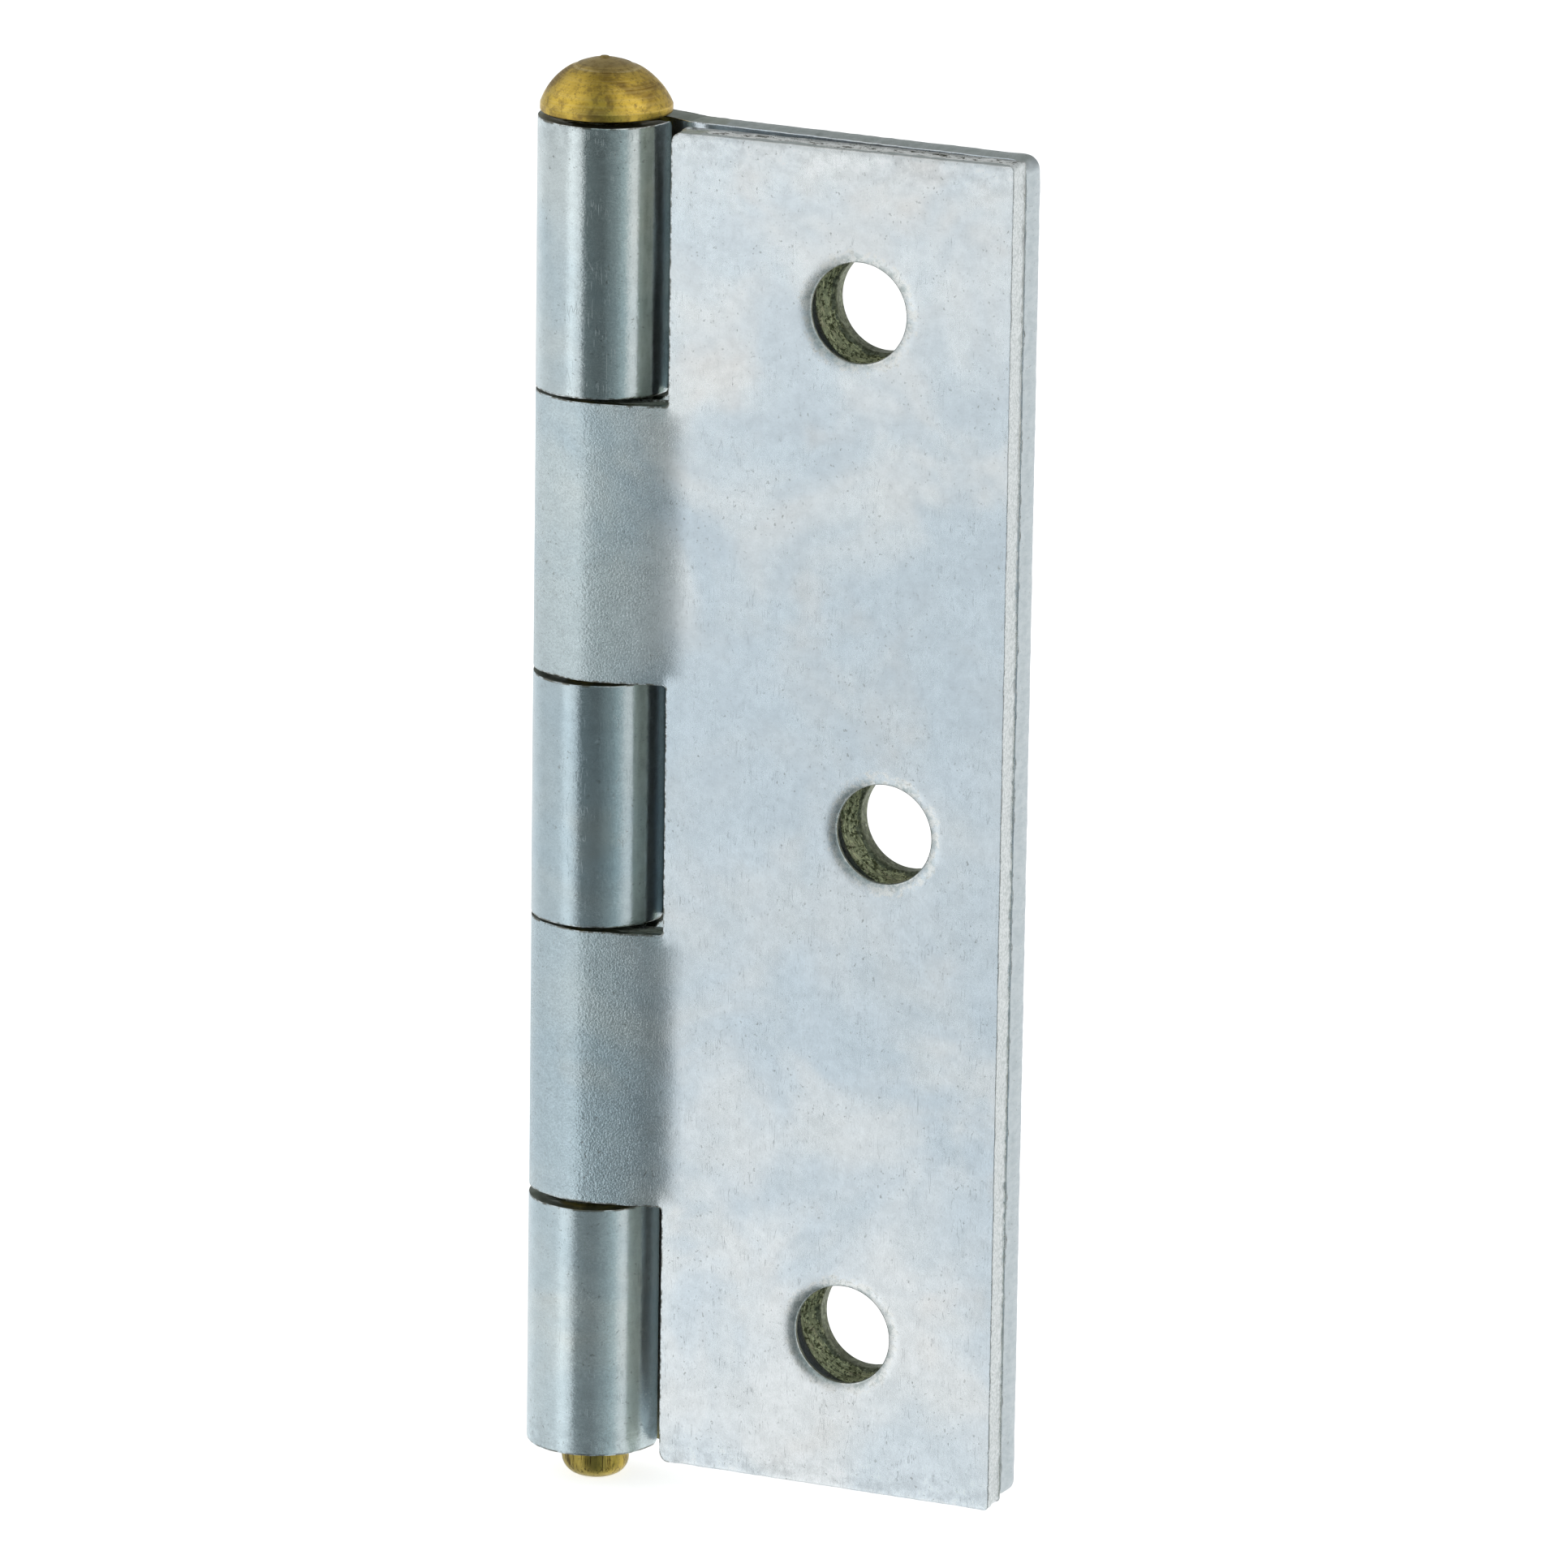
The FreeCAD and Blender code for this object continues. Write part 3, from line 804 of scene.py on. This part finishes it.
def specked(coat, place, edge, colour):
    """Dark specks, most of them in patches and along the edges."""
    patches = coat.step(coat.noise(place, 0.5, 2.0), 0.42, 0.62, 0.25, 1.0)
    area = coat.math("MAXIMUM", patches, coat.step(edge, 0.02, 0.5))
    specks = coat.noise(coat.stretched(place, (1.0, 0.75, 1.0)), 4.6, 3.0, 0.65)
    specks = coat.times(coat.step(specks, 0.62, 0.68), area)
    return coat.blend(coat.times(specks, 0.6), colour, SPECK)


def hairlines(coat, place, turn, seed):
    """A mask of short, thin scratches that run one way."""
    stretched = coat.stretched(place, (1.7, 0.16, 1.0), (0, 0, turn), (seed, seed * 2.3, 0))
    off_line = coat.distance(coat.noise(stretched, 1.6, 1.0), 0.5)
    thin = coat.step(off_line, 0.0, 0.006, 1.0, 0.0)
    broken = coat.step(coat.noise(place, 0.9 + seed * 0.05, 3.0), 0.56, 0.64)
    return coat.times(thin, broken)


def crossed_hairlines(coat, place):
    """A mask of scratches that run three ways."""
    scratches = 0.0
    for seed, turn in ((1, 0.5), (2, -0.9), (3, 1.9)):
        scratches = coat.math("MAXIMUM", scratches, hairlines(coat, place, turn, seed))
    return scratches


def rubbed(coat, place, edge, colour):
    """Edges rubbed pale in patches."""
    patches = coat.step(coat.noise(place, 2.6, 3.0), 0.42, 0.62)
    return coat.blend(coat.times(coat.step(edge, 0.1, 0.9, 0, 0.8), patches), colour, RUBBED)


def ringed_holes(coat, place, blotches, colour):
    """A ragged, flecked bloom round each screw hole, with painted shade on the rolled rim towards the hole.
    """
    ragged = coat.step(coat.noise(place, 0.9, 4.0, 0.7), 0.3, 0.7, -0.25, 0.25)
    hole = coat.plus(coat.nearness("hole"), ragged)
    bloom = coat.times(coat.step(hole, 0.26, 0.5), coat.step(blotches, 0, 1, 0.65, 0))
    colour = coat.blend(bloom, colour, HOLE_BLOOM)
    flecks = coat.step(coat.noise(place, 4.2, 4.0, 0.7), 0.55, 0.62, 0, 0.6)
    colour = coat.blend(coat.times(bloom, flecks), colour, HOLE_FLECK)
    # Painted shade on the rolled rim next to the hole, in patches.
    darkening = coat.times(coat.step(hole, 0.45, 1.0), coat.step(blotches, 0, 1, 0.15, 0.7))
    return coat.blend(darkening, colour, HOLE_SHADE)


def face_relief(coat, place, plating, rolled, grain, scratches):
    """The normal of a face: brushed lines, grain, a slower unevenness and the scratches."""
    brushed = coat.noise(coat.stretched(place, (1.3, 6.5, 1.0)), 1.1, 3.0, 0.7)
    normal = coat.bump(brushed, plating.brushing, 0.02)
    normal = coat.bump(grain, coat.step(rolled, 0, 1, 0.08, plating.grain), 0.05, normal)
    uneven = coat.noise(place, 2.4, 3.0)
    normal = coat.bump(uneven, coat.step(rolled, 0, 1, 0.12, 0.2), 0.04, normal)
    return coat.bump(scratches, 0.35, -0.01, normal)


def zinc_face(name, plating):
    """Zinc plate on rolled sheet, from its clouds to its fine grain."""
    coat = Coat(name)
    place = coat.sheet()
    edge = coat.nearness("edge")
    along, up, _ = coat.axes(place)
    rolled = coat.step(along, FLAT_START + 0.6, BARREL_LENGTH)
    scratches = crossed_hairlines(coat, place)
    blotches = coat.noise(coat.stretched(place, shift=(5, 11, 3)), 2.1, 4.0, 0.7)
    blotches = coat.step(blotches, 0.42, 0.58)
    grain = coat.noise(place, 9.0, 2.0, 0.6)

    colour = clouded(coat, place, up, plating.tints)
    colour = coat.blend(rolled, colour, plating.roll_tint, "MULTIPLY")
    colour = specked(coat, place, edge, colour)
    colour = coat.blend(coat.times(scratches, 0.3), colour, SCRATCH)
    colour = rubbed(coat, place, edge, colour)
    colour = ringed_holes(coat, place, blotches, colour)
    # Darker in patches along the edges of the knuckles and notches.
    on_tab = coat.step(along, FLAT_START + 0.3, FLAT_START - 1.4)
    darkened_edges = coat.times(coat.step(edge, 0.0, 0.6), on_tab, blotches)
    colour = coat.blend(darkened_edges, colour, KNUCKLE_EDGE_DARK)
    speckled = coat.step(grain, 0.3, 0.7, -plating.grain_tint, plating.grain_tint)
    colour = coat.shaded(colour, coat.times(speckled, coat.step(rolled, 0, 1, 0.3, 1.0)))

    uneven = coat.noise(place, 0.35, 3.0)
    rough = coat.step(uneven, 0.3, 0.7, plating.roughness - 0.03, plating.roughness + 0.04)
    rough = coat.plus(rough, coat.step(grain, 0.3, 0.7, -0.03, 0.03))
    rough = coat.plus(rough, coat.step(up, HEIGHT * 0.8, HEIGHT * 0.15, 0, plating.duller_below))
    dullest = plating.metallic - 2.5 * plating.duller_below
    metallic = coat.step(up, HEIGHT * 0.8, HEIGHT * 0.1, plating.metallic, dullest)
    normal = face_relief(coat, place, plating, rolled, grain, scratches)
    return coat.finish(Base_Color=colour, Metallic=metallic, Roughness=rough, Normal=normal)


# ---- the leaves' edges
CUT_METAL = (0.52, 0.58, 0.56, 1)
CUT_FREE_EDGE = (0.57, 0.63, 0.66, 1)
SCORE = (0.86, 0.9, 0.92, 1)
# painted shade for the hollows of the torn relief
TORN_PIT_SHADE = (0.07, 0.07, 0.05, 1)
TORN_CREST = (0.99, 1.0, 0.99, 1)
FREE_EDGE_PIT = (0.6, 0.64, 0.64, 1)
FREE_EDGE_CREST = (0.86, 0.89, 0.9, 1)
# painted shadow and shade lines along the edges
EDGE_LINE_SHADE = (0.13, 0.14, 0.12, 1)
# painted shade inside the notches: on the knuckles' ends, and lighter beside the barrel
KNUCKLE_END_SHADE = (0.22, 0.25, 0.19, 1)
BESIDE_BARREL_SHADE = (0.46, 0.5, 0.42, 1)
EDGE_DOT = (0.2, 0.2, 0.18, 1)


def zinc_sheared(name, torn_from, free_edge_torn_from):
    """A sheared edge: smooth and scored near the outer face, then torn, where bright crests and pits dark
    with painted shade lie side by side. The free edge tears at a depth of its own and is paler, with a
    painted burr shadow along its tear line, and every edge has a line of painted shade along its inner
    side. The knuckles' ends are dark with painted shade, and the notch walls beside the barrel less so."""
    coat = Coat(name)
    place = coat.sheet()
    along, _, depth = coat.axes(place)
    at_free_edge = coat.step(along, SHEET_LENGTH - 0.6, SHEET_LENGTH - 0.2)
    start = coat.step(at_free_edge, 0, 1, torn_from, free_edge_torn_from)
    wander = coat.step(coat.noise(place, 0.7, 3.0), 0.3, 0.7, -0.2, 0.2)
    wander = coat.times(wander, coat.step(at_free_edge, 0, 1, 1.0, 0.25))
    beyond = coat.math("SUBTRACT", coat.plus(depth, wander), start)
    torn = coat.step(beyond, 0.0, -0.1)

    scored = coat.noise(coat.stretched(place, (3.0, 3.0, 1.6)), 1.0, 4.0, 0.7)
    smooth = coat.blend(at_free_edge, CUT_METAL, CUT_FREE_EDGE)
    smooth = coat.blend(coat.step(scored, 0.35, 0.65, 0, 0.3), smooth, SCORE)
    pits = coat.noise(coat.stretched(place, (0.95, 0.95, 1.9)), 1.05, 5.0, 0.75)
    fine_pits = coat.noise(place, 5.5, 3.0, 0.7)
    # The pits are painted shade in the hollows of the torn relief; the crests keep the torn metal's pale
    # colour.
    crests = coat.blend(coat.step(pits, 0.43, 0.47), TORN_PIT_SHADE, TORN_CREST)
    pale_crests = coat.blend(coat.step(fine_pits, 0.4, 0.6), FREE_EDGE_PIT, FREE_EDGE_CREST)
    colour = coat.blend(torn, smooth, coat.blend(at_free_edge, crests, pale_crests))

    # A ragged painted shadow under the free edge's burr, where it starts to tear, and a line of painted
    # shade along each edge's inner side.
    near_line = coat.step(coat.math("ABSOLUTE", beyond), 0.09, 0.02)
    ragged = coat.step(coat.noise(place, 2.8, 3.0, 0.7), 0.4, 0.52, 0.15, 0.85)
    line = coat.times(near_line, ragged, at_free_edge)
    seam_shade = coat.times(coat.step(depth, 0.12 - HALF, 0.04 - HALF), ragged, 0.6)
    colour = coat.blend(coat.math("MAXIMUM", line, seam_shade), colour, EDGE_LINE_SHADE)
    # Painted shade on the walls of the knuckles and notches, darkest on the knuckles' ends and lighter on
    # the notch walls beside the barrel.
    in_notch = coat.step(along, FLAT_START + 0.5, FLAT_START)
    beside_barrel = coat.step(along, FLAT_START - 1.8, FLAT_START - 1.55)
    notch_shade = coat.blend(beside_barrel, KNUCKLE_END_SHADE, BESIDE_BARREL_SHADE)
    colour = coat.blend(coat.times(in_notch, 0.8), colour, notch_shade)
    dots = coat.times(coat.step(fine_pits, 0.62, 0.7), 0.5)
    colour = coat.blend(dots, colour, EDGE_DOT)

    rough = coat.mix(torn, 0.34, 0.55)
    metallic = coat.mix(torn, 0.95, 0.05)
    normal = coat.bump(scored, 0.3, 0.03)
    normal = coat.bump(coat.times(pits, torn), coat.step(at_free_edge, 0, 1, 1.0, 0.35), 0.2, normal)
    return coat.finish(Base_Color=colour, Metallic=metallic, Roughness=rough, Normal=normal)


# ---- the screw holes
# painted warm highlight on the countersinks
WARM_HIGHLIGHT = (0.9, 0.8, 0.6, 1)
PLATED_DARK = (0.2, 0.22, 0.14, 1)
PLATED_LIGHT = (0.34, 0.37, 0.26, 1)
PLATED_GRIT = (0.12, 0.13, 0.09, 1)
PLATED_RING = (0.85, 0.87, 0.72, 1)


def zinc_drilled(name, sink, light, dark):
    """The screw holes' walls. The punched cylinder is plated evenly, and the countersink shows the
    tool's broken rings between a light and a dark olive, with patches of painted warm highlight."""
    coat = Coat(name)
    place = coat.sheet()
    _, _, depth = coat.axes(place)
    rings = coat.noise(coat.stretched(place, (1.1, 1.1, 6.5)), 1.0, 4.0, 0.7, 0.5)
    fine_rings = coat.noise(coat.stretched(place, (1.6, 1.6, 9.0)), 1.2, 4.0, 0.75, 0.8)
    patches = coat.noise(coat.stretched(place, (1.2, 1.2, 3.0)), 1.0, 4.0, 0.65)
    grit = coat.noise(place, 4.5, 4.0, 0.7)

    cut = coat.blend(coat.step(rings, 0.38, 0.52, 0, 0.55), dark, light)
    cut = coat.blend(coat.step(fine_rings, 0.5, 0.58), cut, light)
    # Patches of painted warm highlight on the countersink.
    cut = coat.blend(coat.step(patches, 0.54, 0.64, 0, 0.4), cut, WARM_HIGHLIGHT)
    cut = coat.blend(coat.step(grit, 0.53, 0.59, 0, 0.9), cut, dark)
    plated = coat.blend(coat.step(patches, 0.4, 0.6), PLATED_DARK, PLATED_LIGHT)
    plated = coat.blend(coat.step(grit, 0.46, 0.56, 0, 0.75), plated, PLATED_GRIT)
    plated = coat.blend(coat.step(fine_rings, 0.58, 0.66, 0, 0.6), plated, PLATED_RING)
    wander = coat.step(patches, 0.35, 0.65, -0.15, 0.15)
    cone_top = sink - HALF
    in_cylinder = coat.step(coat.plus(depth, wander), cone_top - 0.22, cone_top - 0.1)
    colour = coat.blend(in_cylinder, cut, plated)

    normal = coat.bump(rings, 0.9, 0.06)
    normal = coat.bump(grit, 0.8, 0.06, normal)
    rough = coat.step(patches, 0.3, 0.7, 0.3, 0.48)
    return coat.finish(Base_Color=colour, Metallic=1.0, Roughness=rough, Normal=normal)


# ---- the pin and the floor
BROWN_BRASS = (0.33, 0.205, 0.045, 1)
GOLD_BRASS = (0.8, 0.55, 0.09, 1)
# painted dark reflection on the dome's middle
CROWN_DARK_REFLECTION = (0.46, 0.35, 0.16, 1)
# painted highlight along the dome's facet line
FACET_HIGHLIGHT = (0.95, 0.76, 0.36, 1)
TOOL_LINE = (0.9, 0.68, 0.24, 1)
BRASS_MOTTLE = (0.36, 0.24, 0.07, 1)
BRASS_STAIN = (0.17, 0.11, 0.04, 1)
SHANK_BRASS = (0.52, 0.42, 0.1, 1)
BRASS_DOT = (0.2, 0.14, 0.06, 1)
CRACK = (0.09, 0.06, 0.02, 1)


def turned_brass(name):
    """Dull brass: brown and gold clouds, tool rings, a painted highlight arc and a painted dark reflection
    over the middle of the head, and drawn lines and cracks on the greener shank."""
    coat = Coat(name)
    place = coat.object_mm()
    centred = coat.node("ShaderNodeVectorMath", {0: place, 1: tuple(AXIS)}, operation="SUBTRACT").outputs[0]
    across, out, up = coat.axes(centred)
    level = coat.node("ShaderNodeCombineXYZ", {0: across, 1: out}).outputs[0]
    radius = coat.node("ShaderNodeVectorMath", {0: level}, operation="LENGTH").outputs["Value"]
    on_head = coat.step(up, HEIGHT / 2, UNDER_HEAD)
    turned_place = coat.node("ShaderNodeCombineXYZ", {0: radius, 1: up}).outputs[0]
    rings = coat.noise(turned_place, 9.0, 3.0, 0.6)
    drawn = coat.noise(coat.stretched(centred, (2.6, 2.6, 0.22)), 1.6, 3.0, 0.6)
    marks = coat.mix(on_head, drawn, rings)
    cloud = coat.noise(centred, 0.55, 4.0, 0.6, 0.4)

    colour = coat.blend(coat.step(cloud, 0.38, 0.6), BROWN_BRASS, GOLD_BRASS)
    # Painted dark reflection over the dome's middle, within 1.9 mm of the axis; the rounded tip, inside the
    # same radius, is darkened too.
    colour = coat.blend(coat.step(radius, 1.9, 1.5, 0, 0.8), colour, CROWN_DARK_REFLECTION)
    # A painted highlight along the dome's facet line, in patches.
    arc = coat.step(coat.distance(radius, 1.82), 0.14, 0.04, 0, 0.7)
    arc = coat.times(arc, on_head, coat.step(cloud, 0.4, 0.55))
    colour = coat.blend(arc, colour, FACET_HIGHLIGHT)
    colour = coat.blend(coat.step(marks, 0.4, 0.62, 0, 0.35), colour, TOOL_LINE)
    mottle = coat.noise(centred, 2.6, 4.0, 0.7)
    colour = coat.blend(coat.step(mottle, 0.48, 0.62, 0, 0.6), colour, BRASS_MOTTLE)
    darkening = coat.step(coat.noise(centred, 1.9, 4.0, 0.65), 0.56, 0.68)
    darkening = coat.times(darkening, coat.step(on_head, 0, 1, 0.85, 0.35))
    colour = coat.blend(darkening, colour, BRASS_STAIN)
    colour = coat.blend(coat.step(on_head, 0, 1, 0.6, 0), colour, SHANK_BRASS)
    dots = coat.step(coat.noise(centred, 6.5, 2.0), 0.66, 0.72, 0, 0.6)
    colour = coat.blend(dots, colour, BRASS_DOT)
    cracks = coat.noise(coat.stretched(centred, (7.0, 7.0, 0.5)), 1.0, 4.0, 0.75)
    cracks = coat.times(coat.step(cracks, 0.53, 0.6), coat.step(on_head, 0, 1, 0.85, 0))
    colour = coat.blend(cracks, colour, CRACK)

    rough = coat.step(cloud, 0.3, 0.7, 0.46, 0.32)
    normal = coat.bump(marks, 0.3, 0.03)
    normal = coat.bump(coat.noise(centred, 5.0, 3.0), 0.16, 0.04, normal)
    return coat.finish(Base_Color=colour, Metallic=1.0, Roughness=rough, Normal=normal)


def floor_paint(name):
    """A clean, evenly lit white sweep with the faintest mottling."""
    coat = Coat(name)
    tone = coat.step(coat.noise(coat.object_mm(), 0.02, 2.0), 0.3, 0.7, 0.9, 0.92)
    glow = {"Emission_Color": (1, 1, 1, 1), "Emission_Strength": 0.75}
    return coat.finish(Base_Color=coat.grey(tone), Roughness=0.9, **glow)


# ---- pieces in the frame
def dress(piece, *materials):
    for material in materials:
        piece.data.materials.append(material)


back_leaf = build_leaf(BACK_LEAF)
front_leaf = build_leaf(FRONT_LEAF)
pin = build_pin("brass_pin")
dress(
    back_leaf,
    zinc_face("zinc_bright", BRIGHT),
    zinc_sheared("zinc_sheared_back", torn_from=-0.72, free_edge_torn_from=-0.72),
    zinc_drilled("zinc_drilled_back", BACK_LEAF.sink, (0.98, 1.0, 0.64, 1), (0.1, 0.11, 0.05, 1)),
)
dress(
    front_leaf,
    zinc_face("zinc_matte", MATTE),
    zinc_sheared("zinc_sheared_front", torn_from=0.38, free_edge_torn_from=0.84),
    # The front leaf's countersink colours are much darker than the back's: painted shade for the hollow
    # between the leaves.
    zinc_drilled("zinc_drilled_front_painted_shade", FRONT_LEAF.sink, (0.2, 0.22, 0.17, 1), (0.03, 0.03, 0.02, 1)),
)
dress(pin, turned_brass("turned_brass"))

for piece, node, slot in (
    (back_leaf, "back_leaf", "zinc_plate"),
    (front_leaf, "front_leaf", "zinc_plate"),
    (pin, "hinge_pin", "brass"),
):
    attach(piece, node)
    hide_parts(node)


# ---- floor and lights
FLOOR_SIDE = 6.0  # metres, like the panels' distance and sides
PANEL_DISTANCE = 0.7

COOL = (0.955, 1.0, 1.03)
DIM = (0.78, 0.98, 1.02)
PLAIN = (0.98, 1.0, 1.0)
GREEN = (0.88, 1.03, 0.92)
WALLS = (  # bearing from the front, brightness and tint
    (-180, 0.9, PLAIN), (-125, 0.85, COOL), (-80, 0.66, COOL), (-44, 0.7, COOL), (-32, 1.04, COOL),
    (-15, 0.78, COOL), (-7, 0.14, DIM), (22, 0.1, DIM), (44, 0.22, DIM), (60, 0.42, DIM), (74, 0.76, PLAIN),
    (84, 0.72, PLAIN), (96, 0.36, GREEN), (125, 0.9, PLAIN), (180, 0.95, PLAIN),
)
UPPER_WALLS = (
    (-180, 0.34, PLAIN), (-110, 0.45, COOL), (-60, 0.62, COOL), (-20, 0.66, COOL), (0, 0.38, DIM),
    (30, 0.34, DIM), (58, 0.7, PLAIN), (84, 0.7, PLAIN), (125, 0.55, PLAIN), (180, 0.34, PLAIN),
)
CEILING = (0.24, 0.25, 0.24, 1)


def make_floor():
    """A pale sweep under the pin's tip, which the metal doesn't mirror."""
    bpy.ops.mesh.primitive_plane_add(size=FLOOR_SIDE, location=(0, 0, PIN_LOW.z))
    floor = bpy.context.object
    floor.name = "floor"
    floor.data.materials.append(floor_paint("floor_paint"))
    floor.visible_glossy = False


def wall_colour(tent, share, stops):
    """The colour round a wall, from its stops."""
    ramp = tent.node("ShaderNodeValToRGB", {0: share})
    ramp.color_ramp.interpolation = "EASE"
    elements = ramp.color_ramp.elements
    while len(elements) < len(stops):
        elements.new(0.5)
    for element, (degrees, level, tint) in zip(elements, stops):
        element.position = (degrees + 180) / 360
        element.color = tuple(level * channel for channel in tint) + (1,)
    return ramp.outputs[0]


def light_tent():
    """A plain tent round the hinge: pale walls, brightest at the front left, a dark opening at the
    front, a bright panel and a greenish gap at the right, and dimmer above."""
    world = bpy.data.worlds.new("light_tent")
    bpy.context.scene.world = world
    world.use_nodes = True
    world.node_tree.nodes.clear()
    tent = Nodes(world.node_tree)
    across, out, up = tent.axes(tent.node("ShaderNodeTexCoord").outputs["Generated"])
    bearing = tent.math("ARCTAN2", across, tent.times(out, -1.0))
    turn = {"Value": bearing, "From Min": -math.pi, "From Max": math.pi}
    share = tent.node("ShaderNodeMapRange", turn).outputs[0]
    walls = wall_colour(tent, share, WALLS)
    upper = wall_colour(tent, share, UPPER_WALLS)
    side = tent.blend(tent.step(up, -0.12, 0.22), walls, upper)
    colour = tent.blend(tent.step(up, 0.55, 0.95), side, CEILING)
    lit = tent.node("ShaderNodeBackground", {0: colour})
    seen = tent.node("ShaderNodeBackground", {0: (1, 1, 1, 1)})
    is_camera = tent.node("ShaderNodeLightPath").outputs["Is Camera Ray"]
    mixed = tent.node("ShaderNodeMixShader", {0: is_camera, 1: lit.outputs[0], 2: seen.outputs[0]})
    tent.node("ShaderNodeOutputWorld", {0: mixed.outputs[0]})


def direction_at(bearing, climb):
    """The direction at a bearing from the front, positive to the right, and an elevation."""
    turn = math.radians(bearing)
    rise = math.radians(climb)
    return Vector((math.sin(turn) * math.cos(rise), -math.cos(turn) * math.cos(rise), math.sin(rise)))


def soft_panel(name, bearing, climb, side, power):
    """A square area light at a bearing and elevation, aimed at the hinge."""
    light = bpy.data.lights.new(name, "AREA")
    light.shape = "SQUARE"
    light.size = side
    light.energy = power
    panel = bpy.data.objects.new(name, light)
    direction = direction_at(bearing, climb)
    panel.location = direction * PANEL_DISTANCE
    panel.rotation_euler = direction.to_track_quat("Z", "Y").to_euler()
    bpy.context.scene.collection.objects.link(panel)


make_floor()
light_tent()
soft_panel("left_panel", bearing=-70, climb=40, side=0.7, power=0.5)
soft_panel("right_panel", bearing=100, climb=55, side=0.6, power=0.5)


# ---- camera
CAMERA_BEARING = 26.95
CAMERA_CLIMB = 15.08
CAMERA_TILT = math.radians(0.828)
CAMERA_DISTANCE = 0.6115  # metres
CAMERA_TARGET = (AXIS + Vector((11.289, 0.345, 1.529))) * MM
FOCAL_LENGTH = 254.9
SENSOR_WIDTH = 36


def make_camera():
    """A long lens a little to the right of and above the hinge, tilted by under a degree."""
    back = direction_at(CAMERA_BEARING, CAMERA_CLIMB)
    right = towards(math.radians(CAMERA_BEARING))
    up = back.cross(right)
    tilted_right = right * math.cos(CAMERA_TILT) + up * math.sin(CAMERA_TILT)
    tilted_up = up * math.cos(CAMERA_TILT) - right * math.sin(CAMERA_TILT)
    lens = bpy.data.cameras.new("camera")
    lens.sensor_width = SENSOR_WIDTH
    lens.lens = FOCAL_LENGTH
    lens.clip_start = 0.05
    camera = bpy.data.objects.new("camera", lens)
    turn = Matrix((tilted_right, tilted_up, back)).transposed().to_4x4()
    camera.matrix_world = Matrix.Translation(CAMERA_TARGET + back * CAMERA_DISTANCE) @ turn
    bpy.context.scene.collection.objects.link(camera)
    bpy.context.scene.camera = camera


make_camera()
bpy.context.scene.view_settings.view_transform = "Standard"
